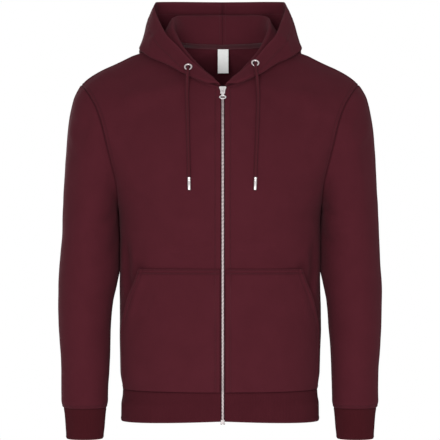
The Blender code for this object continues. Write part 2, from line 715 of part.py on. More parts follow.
def front_surface(levels, across, lift):
    """Points off the front panel's smooth surface at those levels and shares across."""
    nudge = 1e-4
    low, high = np.clip(across - nudge, 0, 1), np.clip(across + nudge, 0, 1)
    along = torso_grid(FRONT_ROWS, levels, high) - torso_grid(FRONT_ROWS, levels, low)
    up = torso_grid(FRONT_ROWS, levels + nudge, across) - torso_grid(FRONT_ROWS, levels - nudge, across)
    return torso_grid(FRONT_ROWS, levels, across) + unit(np.cross(along, up)) * lift[..., None]


def level_at(height):
    """The level at which the middle of the front has that height."""
    levels = np.linspace(-1, FRONT_NECK_LEVEL, 400)
    return np.interp(height, read_table(FRONT_ROWS, levels)[:, 2], levels)


def add_pockets():
    bottom, corner, top = level_at((POCKET_BOTTOM, POCKET_EDGE[1][0], POCKET_TOP))
    levels = np.linspace(0, 1, LOW_LEVELS + 1)
    levels = np.concatenate([levels, (levels[:-1] + levels[1:])[levels[:-1] > corner - 0.1] / 2])
    levels = np.sort(np.concatenate([[bottom], levels[(levels > bottom) & (levels < top)], [top]]))
    table = read_table(FRONT_ROWS, levels)
    heights = table[:, 2]
    edge = read_table(POCKET_EDGE, heights)[:, 0]
    ends = np.stack([np.full(len(heights), POCKET_INNER_X), edge], axis=1)
    share = (ends - table[:, :1]) / (table[:, 3:4] - table[:, :1])
    ends = np.arcsin(share ** (1 / SQUARENESS)) / (pi / 2)
    columns = np.linspace(0, 1, ACROSS + 1)
    across = np.clip(columns, ends[:, :1], ends[:, 1:])
    across[:, -1] = ends[:, 1]
    steps = (across - ends[:, :1]) / (ends[:, 1:] - ends[:, :1])
    open_part = np.clip((heights - POCKET_EDGE[2][0]) / (POCKET_TOP - POCKET_EDGE[2][0]), 0, 1)
    puff = np.sin(pi * open_part)[:, None] * steps**3 * POCKET_PUFF
    inner = front_surface(levels, across, POCKET_LIFT + puff)
    outer = front_surface(levels, across, POCKET_LIFT + puff + CLOTH)
    faces = grid_faces(*inner.shape[:2])
    for name, side in (("pocket_left", 1), ("pocket_right", -1)):
        add_wall(name, place(outer, side), place(inner, side), faces, "fleece")


# ---------------------------------------------------------------- zip


def add_strip(name, corners, side, slot):
    """A closed strip; corners has a ring of four points for each step along it."""
    count = len(corners)
    faces = grid_faces(count, 4, closed=True)
    faces += [(0, 1, 2, 3), tuple(4 * (count - 1) + k for k in range(4))]
    return add_mesh(name, place(corners, side), faces, slot, smooth=False)


def zip_line(torso, heights):
    """Front edge points at these heights, the same next to them, and their normals."""
    band = torso_grid(FRONT_ROWS, np.linspace(-1, 0, HEM_LEVELS + 1))
    neck = LOW_LEVELS + CHEST_STEPS_FRONT
    rows = np.concatenate([band[:-1], torso.front[: neck + 1]])[:, :2]
    normals = np.concatenate([grid_normals(band)[:-1, 0], torso.front_normals[: neck + 1, 0]])
    known = rows[:, 0, 2]
    between = known[(known > heights[0]) & (known < heights[1])]
    wanted = np.concatenate([[heights[0]], between, [heights[1]]])
    columns = np.concatenate([rows[:, 0], rows[:, 1], normals], axis=1)
    read = np.stack([np.interp(wanted, known, column) for column in columns.T], axis=1)
    return read[:, 0:3], read[:, 3:6], unit(read[:, 6:9] * (0, 1, 1))


def strip_corners(line, left_x, right_x, front, back):
    """Four corners a step, parallel to the front panel's first facets."""
    edge, beside, normals = line
    run = beside - edge
    sides = []
    for x in (left_x, right_x):
        share = np.maximum(x - ZIP_HALF_GAP, 0) / run[:, :1]
        point = edge + run * share
        point[:, 0] = x
        sides.append(point)
    left, right = sides
    ring = (left + normals * front, right + normals * front, right + normals * back, left + normals * back)
    return np.stack(ring, axis=1)


def add_chain_and_tapes(torso):
    chain = zip_line(torso, (CHAIN_FOOT_Z, CHAIN_TOP_Z))
    corners = strip_corners(chain, -CHAIN_HALF_WIDTH, CHAIN_HALF_WIDTH, CHAIN_FRONT, CHAIN_BACK)
    add_strip("zip_chain", corners, 1, "metal")
    foot, top = FRONT_ROWS[0][3], FRONT_ROWS[12][3]
    tape = zip_line(torso, (foot, top))
    corners = strip_corners(tape, TAPE_INNER_X, TAPE_OUTER_X, TAPE_FRONT, TAPE_BACK)
    for name, side in (("zip_tape_left", 1), ("zip_tape_right", -1)):
        add_strip(name, corners, side, "tape")


def prism(outline, low, high):
    """Points and faces of an outline (pairs) swept along its third axis."""
    count = len(outline)
    points = [(a, b, level) for level in (low, high) for a, b in outline]
    faces = [tuple(range(count)), tuple(count + k for k in range(count))]
    faces += [(k, (k + 1) % count, count + (k + 1) % count, count + k) for k in range(count)]
    return np.array(points, float), faces


def both_sides(half_outline):
    """A closed outline from pairs of distance down and half width."""
    right = [(down, half) for down, half in half_outline]
    return right + [(down, -half) for down, half in reversed(half_outline)]


class ZipPlace:
    """The slider's own axes: across, down the zip and off the cloth."""

    def __init__(self, torso):
        edge, _, normals = zip_line(torso, (CHAIN_FOOT_Z, SLIDER_TOP_Z))
        self.origin = place(edge[-1] * (0, 1, 1), 1)
        self.out = unit(normals[-1] + normals[-2])
        self.down = unit(np.cross(self.out, (1, 0, 0)))
        if self.down[2] > 0:
            self.down = -self.down

    def world(self, across, down, out):
        spread = np.multiply.outer(np.asarray(across, float), (1, 0, 0))
        return self.origin + spread + np.multiply.outer(down, self.down) + np.multiply.outer(out, self.out)


def join(target, *others):
    """Unites closed meshes into the target object and removes the others."""
    for other in others:
        union = target.modifiers.new("union", "BOOLEAN")
        union.operation = "UNION"
        union.solver = "EXACT"
        union.object = other
        other.hide_render = True
        other.display_type = "WIRE"
    return target


def cut(target, *cutters):
    for cutter in cutters:
        hole = target.modifiers.new("hole", "BOOLEAN")
        hole.operation = "DIFFERENCE"
        hole.solver = "EXACT"
        hole.object = cutter
        cutter.hide_render = True
        cutter.display_type = "WIRE"
    return target


def add_slider(where):
    parts = []
    for name, (low, high) in (("zip_slider", SLIDER_FRONT), ("slider_back", SLIDER_BACK)):
        points, faces = prism(both_sides(SLIDER_OUTLINE), low, high)
        shape = where.world(points[:, 1], points[:, 0], points[:, 2])
        parts.append(add_mesh(name, shape, faces, "metal", smooth=False))
    start, end, half = SLIDER_POST
    middle = (SLIDER_BACK[0] + SLIDER_BACK[1]) / 2, (SLIDER_FRONT[0] + SLIDER_FRONT[1]) / 2
    points, faces = prism([(start, -half), (end, -half * 0.6), (end, half * 0.6), (start, half)], *middle)
    shape = where.world(points[:, 1], points[:, 0], points[:, 2])
    parts.append(add_mesh("slider_post", shape, faces, "metal", smooth=False))
    points, faces = prism(BRIDGE_PROFILE, -BRIDGE_HALF_WIDTH, BRIDGE_HALF_WIDTH)
    shape = where.world(points[:, 2], points[:, 0], points[:, 1])
    parts.append(add_mesh("slider_bridge", shape, faces, "metal", smooth=False))
    return join(*parts)


def add_pull(where):
    """The pull tab, drawn about its pivot; its window clears the bridge."""
    pivot = where.world(0.0, *PULL_PIVOT)
    tilt = radians(PULL_TILT)
    down = where.down * cos(tilt) + where.out * sin(tilt)
    out = where.out * cos(tilt) - where.down * sin(tilt)

    def local(points, across=1, along=0, off=2):
        moved = np.multiply.outer(points[:, across], (1, 0, 0))
        return moved + np.multiply.outer(points[:, along], down) + np.multiply.outer(points[:, off], out)

    half = PULL_THICK / 2
    start, end, window = PULL_WINDOW
    middle, tall, wide = PULL_RING
    hole_tall, hole_wide = PULL_RING_HOLE
    ring = [2 * pi * k / 16 for k in range(16)]
    rounded_end = [(middle - tall * cos(radians(a)), wide * sin(radians(a))) for a in PULL_RING_TURNS]
    outlines = {
        "zip_pull": (both_sides([*PULL_STEM, *rounded_end]), half),
        "pull_window": ([(start, -window), (end, -window), (end, window), (start, window)], 3 * half),
        "pull_hole": ([(middle + hole_tall * cos(a), hole_wide * sin(a)) for a in ring], 3 * half),
    }
    parts = []
    for name, (outline, reach) in outlines.items():
        points, faces = prism(outline, -reach, reach)
        thing = add_mesh(name, local(points), faces, "metal", smooth=False)
        thing.location = pivot
        parts.append(thing)
    return cut(*parts)


def add_stop(torso):
    line = zip_line(torso, (STOP_Z[1] - 0.004, STOP_Z[1]))
    edge, _, normals = line
    line = (edge, edge + (0.03, 0, 0), normals)
    corners = strip_corners(line, -STOP_HALF_WIDTH, STOP_HALF_WIDTH, STOP_DEPTH[1], STOP_DEPTH[0])
    corners[0] += (0, 0, STOP_Z[0] - edge[0, 2])
    add_strip("zip_bottom", corners, 1, "metal")


# ---------------------------------------------------------------- eyelets and cords


def hood_spot(grid, normals, station, below_rim):
    """A point of the hood's outer layer and the way out of it there."""
    row = station * (len(grid) - 1)
    first = int(row)
    share = row - first
    line = grid[first] * (1 - share) + grid[first + 1] * share
    away = normals[first] * (1 - share) + normals[first + 1] * share
    from_rim = np.cumsum(np.linalg.norm(np.diff(line[::-1], axis=0), axis=1))
    from_rim = np.concatenate([[0], from_rim])
    spot = [np.interp(below_rim, from_rim, column) for column in line[::-1].T]
    out = [np.interp(below_rim, from_rim, column) for column in away[::-1].T]
    return np.array(spot), unit(out)


def add_eyelets(grid, normals):
    middle_radius = (EYELET_RADIUS + EYELET_HOLE) / 2
    half_width = (EYELET_RADIUS - EYELET_HOLE) / 2
    around, section = 20, 8
    for name, side, station, below in EYELETS:
        spot, out = hood_spot(grid, normals, station, below)
        first = unit(np.cross(out, (0, 0, 1)))
        second = np.cross(out, first)
        points = []
        for a in np.arange(around) * 2 * pi / around:
            spoke = first * cos(a) + second * sin(a)
            for b in np.arange(section) * 2 * pi / section:
                radius = middle_radius + half_width * cos(b)
                rise = EYELET_LIFT + EYELET_THICK / 2 * (1 + sin(b))
                points.append(spot + spoke * radius + out * rise)
        faces = []
        for i in range(around):
            for j in range(section):
                k, m = (i + 1) % around, (j + 1) % section
                faces.append((i * section + j, k * section + j, k * section + m, i * section + m))
        add_mesh(f"eyelet_{name}", place(np.array(points), side), faces, "metal")


def cord_line(route):
    """Points along a smooth curve through the route, no further apart than CORD_STEP."""
    length = np.linalg.norm(np.diff(route, axis=0), axis=1)
    cells = np.ceil(length / CORD_STEP).astype(int)
    return curve_through(route, [(k, k + 1, n) for k, n in enumerate(cells)])


def add_cord(name, line):
    curve = bpy.data.curves.new(name, "CURVE")
    curve.dimensions = "3D"
    curve.bevel_depth = CORD_DIAMETER / 2
    curve.bevel_resolution = 3
    curve.use_fill_caps = True
    spline = curve.splines.new("POLY")
    spline.points.add(len(line) - 1)
    for point, where in zip(spline.points, line):
        point.co = (*where, 1.0)
    curve.materials.append(make_material("cord"))
    bpy.context.scene.collection.objects.link(bpy.data.objects.new(name, curve))


def add_tip(name, end, along):
    """A plain metal tip, turned about the cord's last direction."""
    first = unit(np.cross(along, (0, 1, 0)))
    second = np.cross(along, first)
    angles = np.arange(TIP_SIDES) * 2 * pi / TIP_SIDES
    spokes = np.outer(np.cos(angles), first) + np.outer(np.sin(angles), second)
    rings = [end + along * (TIP_GAP + down) + spokes * radius for down, radius in TIP_PROFILE]
    last = (len(rings) - 1) * TIP_SIDES
    faces = grid_faces(len(rings), TIP_SIDES, closed=True)
    faces += [tuple(range(TIP_SIDES)), tuple(range(last, last + TIP_SIDES))]
    add_mesh(name, np.array(rings), faces, "metal")


def add_drawcords():
    for name, route in CORD_ROUTES.items():
        line = cord_line(np.array(route))
        add_cord(f"drawcord_{name}", line)
        add_tip(f"cord_tip_{name}", line[-1], unit(line[-1] - line[-2]))


# ---------------------------------------------------------------- neck tape and label


def add_neck_tape(torso, grid, hood_normals):
    """A narrow tape over the back of the neck seam, on the inside."""
    points, normals, away = neckline(torso)
    first = NECK_STEPS_FRONT + 1
    rise = grid[:, 1] - grid[:, 0]
    share = NECK_TAPE_ABOVE / np.linalg.norm(rise, axis=1, keepdims=True)
    turned = normals * (1 - share) + hood_normals[:, 1] * share
    rows = (
        (points - away * NECK_TAPE_BELOW, normals),
        (points, normals),
        (points + rise * share, turned),
    )
    sheets = []
    for depth in (HOOD_CLOTH + NECK_TAPE_GAP, HOOD_CLOTH + NECK_TAPE_GAP + NECK_TAPE_THICK):
        sheet = np.stack([(row - out * depth)[first:] for row, out in rows], axis=1)
        left, right = place(sheet, 1), place(sheet, -1)
        sheets.append(np.concatenate([left, right[-2::-1]], axis=0))
    add_wall("neck_tape", *sheets, grid_faces(*sheets[0].shape[:2]), "tape")


def add_label():
    wide, thick, tall = LABEL_SIZE
    corners = [(-wide / 2, -tall / 2), (wide / 2, -tall / 2), (wide / 2, tall / 2), (-wide / 2, tall / 2)]
    points, faces = prism(corners, -thick / 2, thick / 2)
    upright = np.stack([points[:, 0], points[:, 2], points[:, 1]], axis=1)
    add_mesh("neck_label", place(upright + LABEL_CENTRE, 1), faces, "label", smooth=False)


# ---------------------------------------------------------------- main


def clear_scene():
    for thing in list(bpy.data.objects):
        bpy.data.objects.remove(thing, do_unlink=True)


def main():
    clear_scene()
    torso = Torso()
    add_back(torso)
    add_fronts(torso)
    add_hem_band(torso)
    add_sleeves(torso)
    hood, hood_normals = add_hood(torso)
    add_pockets()
    add_chain_and_tapes(torso)
    where = ZipPlace(torso)
    add_slider(where)
    add_pull(where)
    add_stop(torso)
    add_eyelets(hood, hood_normals)
    add_drawcords()
    add_neck_tape(torso, hood, hood_normals)
    add_label()


main()
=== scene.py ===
"""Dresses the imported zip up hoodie: thin cloth shells with folds, seams and stitching, rib,
a metal zip with its slider, cords with metal tips, eyelets, neck tape and a bare label."""

from math import cos, pi, radians, sin

import bmesh
import bpy
import numpy as np
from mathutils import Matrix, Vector, noise


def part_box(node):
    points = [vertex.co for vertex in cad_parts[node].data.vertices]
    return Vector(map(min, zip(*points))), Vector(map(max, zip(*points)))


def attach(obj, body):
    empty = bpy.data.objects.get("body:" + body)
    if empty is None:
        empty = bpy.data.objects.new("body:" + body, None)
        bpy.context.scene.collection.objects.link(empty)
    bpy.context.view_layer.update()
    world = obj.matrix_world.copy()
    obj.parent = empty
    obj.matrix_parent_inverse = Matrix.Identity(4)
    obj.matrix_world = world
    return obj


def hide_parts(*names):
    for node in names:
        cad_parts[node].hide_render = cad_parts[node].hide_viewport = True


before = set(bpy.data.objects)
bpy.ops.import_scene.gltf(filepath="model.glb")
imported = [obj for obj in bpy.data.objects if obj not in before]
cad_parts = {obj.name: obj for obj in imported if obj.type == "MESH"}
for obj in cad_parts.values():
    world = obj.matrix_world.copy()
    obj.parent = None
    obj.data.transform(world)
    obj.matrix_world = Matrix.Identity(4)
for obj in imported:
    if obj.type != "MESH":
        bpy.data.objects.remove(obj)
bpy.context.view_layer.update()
GARMENT, PULL_TAB = "garment", "pull_tab"
SIDES = ("low", "high", "inner", "outer")  # the four edges of a panel
FORWARDS = np.array((0.0, -1.0, 0.0))

# ---------------- sizes, in metres

CLOTH, HOOD_CLOTH, RIB_CLOTH = 0.0020, 0.0024, 0.0026  # thickness
SEAM_GAP = 0.0003
# How far the zip hangs to the left of the middle, and how far out that is still felt
CENTRE_LEAN, LEAN_REACH = 0.005, 0.20

# Levels: -1 at the hem band's foot, 0 at the hem seam, 1 at the underarm, 2 at the shoulder seam
FRONT_NECK_LEVEL, BACK_NECK_LEVEL = 1.72, 1.82
SQUARENESS, SHOULDER_ROUND = 0.86, 0.10
NECK_STEPS_FRONT, NECK_STEPS_BACK = 10, 8

# Torso rows: level, inner edge x, y, z, outer edge x, y, z, turn in degrees
FRONT_ROWS = (
    (-1.00, 0.004, -0.1190, -0.6900, 0.1865, 0.000, -0.6970, 90),
    (-0.50, 0.004, -0.1195, -0.6640, 0.1862, 0.000, -0.6665, 90),
    (0.00, 0.004, -0.1180, -0.6370, 0.1832, 0.000, -0.6370, 90),
    (0.10, 0.004, -0.1235, -0.6050, 0.1880, 0.000, -0.6050, 90),
    (0.35, 0.004, -0.1265, -0.5250, 0.1890, 0.000, -0.5250, 90),
    (0.65, 0.004, -0.1270, -0.4300, 0.1888, 0.000, -0.4300, 90),
    (0.85, 0.004, -0.1290, -0.3650, 0.1888, 0.000, -0.3650, 90),
    (1.00, 0.004, -0.1310, -0.3170, 0.1895, 0.000, -0.3170, 90),
    (1.15, 0.004, -0.1325, -0.2650, 0.1902, -0.034, -0.2880, 84),
    (1.30, 0.004, -0.1315, -0.2150, 0.1938, -0.060, -0.2500, 75),
    (1.45, 0.004, -0.1265, -0.1650, 0.2022, -0.072, -0.2130, 66),
    (1.60, 0.004, -0.1150, -0.1150, 0.2115, -0.074, -0.1760, 59),
    (1.72, 0.004, -0.0980, -0.0745, 0.2205, -0.069, -0.1420, 53),
    (1.80, 0.040, -0.0870, -0.0610, 0.2300, -0.059, -0.1150, 49),
    (1.88, 0.076, -0.0600, -0.0370, 0.2415, -0.045, -0.0925, 46),
    (1.95, 0.098, -0.0300, -0.0050, 0.2530, -0.025, -0.0755, 43),
    (2.00, 0.108, -0.0020, 0.0175, 0.2615, 0.000, -0.0655, 40),
)
BACK_ROWS = (
    (-1.00, 0.000, 0.1090, -0.6950, 0.1865, 0.000, -0.6970, 90),
    (-0.50, 0.000, 0.1090, -0.6665, 0.1862, 0.000, -0.6665, 90),
    (0.00, 0.000, 0.1080, -0.6370, 0.1832, 0.000, -0.6370, 90),
    (0.10, 0.000, 0.1125, -0.6050, 0.1880, 0.000, -0.6050, 90),
    (0.35, 0.000, 0.1090, -0.5250, 0.1890, 0.000, -0.5250, 90),
    (0.65, 0.000, 0.1050, -0.4300, 0.1888, 0.000, -0.4300, 90),
    (0.85, 0.000, 0.1090, -0.3650, 0.1888, 0.000, -0.3650, 90),
    (1.00, 0.000, 0.1140, -0.3170, 0.1895, 0.000, -0.3170, 90),
    (1.15, 0.000, 0.1175, -0.2620, 0.1910, 0.030, -0.2880, 84),
    (1.30, 0.000, 0.1185, -0.2080, 0.1965, 0.057, -0.2500, 76),
    (1.45, 0.000, 0.1170, -0.1520, 0.2055, 0.070, -0.2120, 68),
    (1.60, 0.000, 0.1100, -0.0950, 0.2155, 0.071, -0.1740, 61),
    (1.72, 0.000, 0.0950, -0.0400, 0.2250, 0.064, -0.1410, 55),
    (1.82, 0.000, 0.0640, 0.0120, 0.2355, 0.052, -0.1130, 50),
    (1.90, 0.048, 0.0560, 0.0140, 0.2455, 0.038, -0.0915, 46),
    (1.96, 0.088, 0.0330, 0.0165, 0.2550, 0.021, -0.0755, 43),
    (2.00, 0.108, -0.0020, 0.0175, 0.2615, 0.000, -0.0655, 40),
)

# Sleeve below the armpit: depth below the shoulders, outermost x, innermost x, foremost y,
# rearmost y
SLEEVE_SECTIONS = (
    (0.3600, 0.2985, 0.1903, -0.0780, 0.0650),
    (0.4050, 0.3015, 0.1900, -0.0780, 0.0600),
    (0.4350, 0.3035, 0.1945, -0.0770, 0.0560),
    (0.4700, 0.3040, 0.2000, -0.0760, 0.0510),
    (0.5130, 0.3030, 0.2040, -0.0740, 0.0450),
    (0.5700, 0.3000, 0.2065, -0.0700, 0.0380),
    (0.6250, 0.2975, 0.2090, -0.0670, 0.0310),
    (0.6560, 0.2962, 0.2105, -0.0650, 0.0265),
    (0.6720, 0.2935, 0.2130, -0.0610, 0.0225),
)
CUFF_SECTIONS = (
    (0.6720, 0.2935, 0.2130, -0.0610, 0.0225),
    (0.6850, 0.2915, 0.2145, -0.0595, 0.0200),
    (0.7100, 0.2895, 0.2165, -0.0590, 0.0165),
    (0.7300, 0.2880, 0.2190, -0.0580, 0.0140),
)
# How far the head of the sleeve carries on from the armhole and back from the first section,
# and how much of that start rolls outwards
CAP_REACH_TOP, CAP_REACH_SIDE, CAP_REACH_UNDER = 0.140, 0.070, 0.016
CAP_END_REACH_TOP, CAP_END_REACH_UNDER = 0.300, 0.070
ROLL_TOP, ROLL_SIDE, ROLL_UNDER = -0.08, 0.55, 0.70

# Hood lines from the zip (station 0) to the middle of the back (1): station, x, y, z
RIDGE = (
    (0.00, 0.0060, -0.0940, -0.0690),
    (0.07, 0.0150, -0.0905, -0.0605),
    (0.14, 0.0265, -0.0840, -0.0520),
    (0.28, 0.0520, -0.0660, -0.0280),
    (0.40, 0.0720, -0.0440, -0.0030),
    (0.50, 0.0860, -0.0200, 0.0220),
    (0.60, 0.0935, 0.0060, 0.0450),
    (0.70, 0.0925, 0.0330, 0.0600),
    (0.80, 0.0840, 0.0580, 0.0680),
    (0.90, 0.0520, 0.0745, 0.0705),
    (1.00, 0.0000, 0.0790, 0.0710),
)
TROUGH = (
    (0.00, 0.0060, -0.1010, -0.0735),
    (0.07, 0.0200, -0.1005, -0.0715),
    (0.14, 0.0360, -0.0975, -0.0665),
    (0.28, 0.0725, -0.0830, -0.0500),
    (0.40, 0.1030, -0.0600, -0.0310),
    (0.50, 0.1330, -0.0350, -0.0160),
    (0.60, 0.1492, 0.0020, -0.0018),
    (0.70, 0.1440, 0.0560, -0.0240),
    (0.80, 0.1170, 0.1030, -0.0750),
    (0.90, 0.0640, 0.1290, -0.1180),
    (1.00, 0.0000, 0.1380, -0.1350),
)
RIM = (
    (0.00, 0.0070, -0.0990, -0.0680),
    (0.07, 0.0175, -0.0970, -0.0590),
    (0.14, 0.0300, -0.0915, -0.0490),
    (0.28, 0.0590, -0.0750, -0.0240),
    (0.40, 0.0810, -0.0560, 0.0020),
    (0.50, 0.1030, -0.0350, 0.0270),
    (0.60, 0.1145, -0.0040, 0.0520),
    (0.70, 0.1262, 0.0420, 0.0850),
    (0.80, 0.1228, 0.0880, 0.0995),
    (0.90, 0.0640, 0.1100, 0.1020),
    (1.00, 0.0000, 0.1160, 0.1020),
)
# Station, how round the ridge and the trough are, and how far the cloth is folded (0 to 1)
HOOD_FOLD = (
    (0.00, 0.0020, 0.0025, 0.0),
    (0.05, 0.0024, 0.0030, 0.6),
    (0.11, 0.0030, 0.0040, 1.0),
    (0.19, 0.0033, 0.0047, 1.0),
    (0.48, 0.0045, 0.0058, 1.0),
    (0.60, 0.0045, 0.0052, 1.0),
    (0.70, 0.0045, 0.0090, 1.0),
    (1.00, 0.0050, 0.0160, 1.0),
)
# First and last control point of each stretch across the hood, and its cells
HOOD_SAMPLES = ((0, 1, 14), (1, 3, 9), (3, 4, 22), (4, 6, 12), (6, 7, 26))

POCKET_TOP, POCKET_BOTTOM = -0.410, -0.6355
# The left pocket's outer edge: height, x
POCKET_EDGE = (
    (-0.6355, 0.1800),
    (-0.5300, 0.1835),
    (-0.5110, 0.1820),
    (-0.4900, 0.1755),
    (-0.4600, 0.1660),
    (-0.4330, 0.1560),
    (-0.4100, 0.1500),
)
POCKET_INNER_X, POCKET_PUFF, POCKET_LIFT = 0.0056, 0.0042, 0.0005
POCKET_ZIP_ROW = 0.0082

CHAIN_TOP_Z, CHAIN_FOOT_Z = -0.0805, -0.6860
TOOTH_PITCH = 0.0025  # along one row
CORD_DIAMETER = 0.0055
# Where each cord runs, from its eyelet to its tip
CORD_ROUTES = {
    "left": (
        (0.0652, -0.0821, -0.0293),
        (0.0653, -0.0853, -0.0306),
        (0.0654, -0.0883, -0.0331),
        (0.0655, -0.0902, -0.0361),
        (0.0656, -0.0919, -0.0402),
        (0.0660, -0.0941, -0.0447),
        (0.0670, -0.0965, -0.0502),
        (0.0682, -0.0979, -0.0567),
        (0.0692, -0.0988, -0.0690),
        (0.0699, -0.0995, -0.0800),
        (0.0702, -0.1015, -0.0920),
        (0.0700, -0.1059, -0.1050),
        (0.0696, -0.1118, -0.1200),
        (0.0689, -0.1194, -0.1400),
        (0.0676, -0.1259, -0.1700),
        (0.0662, -0.1301, -0.2000),
        (0.0647, -0.1325, -0.2420),
    ),
    "right": (
        (-0.0588, -0.0876, -0.0370),
        (-0.0590, -0.0908, -0.0381),
        (-0.0592, -0.0938, -0.0406),
        (-0.0593, -0.0958, -0.0436),
        (-0.0595, -0.0973, -0.0470),
        (-0.0597, -0.0988, -0.0515),
        (-0.0600, -0.0995, -0.0567),
        (-0.0603, -0.0997, -0.0680),
        (-0.0604, -0.0999, -0.0800),
        (-0.0603, -0.1013, -0.0920),
        (-0.0599, -0.1056, -0.1050),
        (-0.0594, -0.1117, -0.1200),
        (-0.0589, -0.1195, -0.1400),
        (-0.0581, -0.1258, -0.1700),
        (-0.0573, -0.1300, -0.2000),
        (-0.0565, -0.1325, -0.2420),
    ),
}
TIP_GAP = 0.0003
# How far the neck tape reaches below and above the neck seam
NECK_TAPE_BELOW, NECK_TAPE_ABOVE = 0.006, 0.003
NECK_TAPE_GAP, NECK_TAPE_THICK = 0.0012, 0.0009
LABEL_CENTRE, LABEL_SIZE = (0.0010, 0.0560, -0.0172), (0.0205, 0.0008, 0.0460)


# ---------------- curves and tables


def unit(vectors):
    vectors = np.asarray(vectors, float)
    length = np.linalg.norm(vectors, axis=-1, keepdims=True)
    return vectors / np.maximum(length, 1e-12)


def hermite(start, end, leave, arrive, s):
    """The cubic from start to end with those end tangents, at s from 0 to 1."""
    s2, s3 = s * s, s * s * s
    return (
        start * (2 * s3 - 3 * s2 + 1)
        + leave * (s3 - 2 * s2 + s)
        + end * (3 * s2 - 2 * s3)
        + arrive * (s3 - s2)
    )


def between_keys(keys, values, tangent, at):
    """The cubic pieces that join the values at their keys, read at the places `at`."""
    cell = np.clip(np.searchsorted(keys, at, side="right") - 1, 0, len(keys) - 2)
    width = np.diff(keys)[cell][:, None]
    s = ((at - keys[cell]) / width[:, 0])[:, None]
    return hermite(values[cell], values[cell + 1], tangent[cell] * width, tangent[cell + 1] * width, s)


def read_table(table, at):
    """The table's columns at the keys `at`, on a smooth curve that never overshoots."""
    table = np.asarray(table, float)
    keys, rows = table[:, 0], table[:, 1:]
    step = np.diff(keys)[:, None]
    slope = np.diff(rows, axis=0) / step
    before, after = slope[:-1], slope[1:]
    rising = before * after > 0
    weight_a = 2 * step[1:] + step[:-1]
    weight_b = step[1:] + 2 * step[:-1]
    safe_before = np.where(rising, before, 1.0)
    safe_after = np.where(rising, after, 1.0)
    mean = (weight_a + weight_b) / (weight_a / safe_before + weight_b / safe_after)
    tangent = np.concatenate([slope[:1], np.where(rising, mean, 0.0), slope[-1:]])
    return between_keys(keys, rows, tangent, np.atleast_1d(np.asarray(at, float)))


def curve_through(points, samples):
    """A smooth curve through the points, read between the pairs that samples names."""
    chord = np.linalg.norm(np.diff(points, axis=0), axis=1)
    keys = np.concatenate([[0], np.cumsum(np.maximum(chord, 1e-5) ** 0.5)])
    step = np.diff(keys)[:, None]
    slope = np.diff(points, axis=0) / step
    inner = (slope[:-1] * step[1:] + slope[1:] * step[:-1]) / (step[1:] + step[:-1])
    tangent = np.concatenate([slope[:1], inner, slope[-1:]])
    at = [keys[0]]
    for first, last, cells in samples:
        at += list(np.linspace(keys[first], keys[last], cells + 1)[1:])
    return between_keys(keys, points, tangent, np.array(at))


def run_of(points):
    """How far along a line of points each of them lies."""
    length = np.linalg.norm(np.diff(points, axis=0), axis=-1)
    return np.concatenate([np.zeros_like(length[:1]), np.cumsum(length, axis=0)])


def read_columns(wanted, at, values):
    """The values that lie at the places `at`, read at the wanted places."""
    return np.stack([np.interp(wanted, at, column) for column in np.asarray(values).T], axis=1)


def resample(points, pitch):
    """The same line with points about a pitch apart."""
    at = run_of(points)
    wanted = np.linspace(0, at[-1], max(int(round(at[-1] / pitch)), 1) + 1)
    return read_columns(wanted, at, points)


def rounded(points, pitch=0.002):
    """A smooth line through a few points, read every pitch."""
    points = np.asarray(points, float)
    cells = np.maximum(np.ceil(np.linalg.norm(np.diff(points, axis=0), axis=1) / pitch), 1)
    return curve_through(points, [(k, k + 1, int(n)) for k, n in enumerate(cells)])


def line_over(points, keys, route):
    """A softened line over a surface, past the points whose keys are nearest to a smooth route."""
    route = np.asarray(route, float)
    smooth = curve_through(route, [(k, k + 1, 8) for k in range(len(route) - 1)])
    line = np.array([points[np.linalg.norm(keys - key, axis=1).argmin()] for key in smooth])
    for _ in range(3):
        line[1:-1] = (line[:-2] + 2 * line[1:-1] + line[2:]) / 4
    return line


def evened(ways, times):
    """The same ways with their turns evened out, the first and last as they are."""
    for _ in range(times):
        ways[1:-1] = unit(ways[:-2] + 2 * ways[1:-1] + ways[2:])
    return ways


def spokes(first, second, sides):
    """Evenly spaced ways round an axis, from first towards second."""
    turns = np.arange(sides) * 2 * pi / sides
    return np.outer(np.cos(turns), first) + np.outer(np.sin(turns), second)


def place(points, side):
    """Points of the left side, mirrored if side is -1, with the lean of the centre line."""
    points = np.array(points, float)
    points[..., 0] *= side
    share = np.clip(points[..., 0] / LEAN_REACH, -1, 1)
    points[..., 0] += CENTRE_LEAN * (1 - share**2) ** 2
    return points


def mirrored(vectors, side):
    return np.asarray(vectors, float) * (side, 1, 1)


def both_sides(points, normals, axis):
    """Points and normals of the left side, and on past its last ones back over the right side."""
    back = (slice(None),) * axis + (slice(-2, None, -1),)
    points = np.concatenate([place(points, 1), place(points, -1)[back]], axis=axis)
    return points, np.concatenate([normals, mirrored(normals, -1)[back]], axis=axis)


def grid_normals(grid, flip=False):
    normals = unit(np.cross(np.gradient(grid, axis=1), np.gradient(grid, axis=0)))
    return -normals if flip else normals


# ---------------- relief of the cloth


def reach_to(points, line):
    """How far each point is from a line, and where along it (0 to 1) the nearest spot is."""
    flat = points.reshape(-1, 3)
    along = run_of(line)
    total = max(along[-1], 1e-9)
    nearest = np.full(len(flat), 1e9)
    where = np.zeros(len(flat))
    for k in range(len(line) - 1):
        start, step = line[k], line[k + 1] - line[k]
        size = np.dot(step, step)
        if size < 1e-14:
            continue
        share = np.clip((flat - start) @ step / size, 0, 1)
        gap = np.linalg.norm(flat - start - share[:, None] * step, axis=1)
        closer = gap < nearest
        nearest[closer] = gap[closer]
        where[closer] = (along[k] + share[closer] * (along[k + 1] - along[k])) / total
    shape = points.shape[:-1]
    return nearest.reshape(shape), where.reshape(shape)


def ease(q):
    """0 up to 0, 1 from 1 on, with a soft start and end."""
    q = np.clip(q, 0, 1)
    return q * q * (3 - 2 * q)


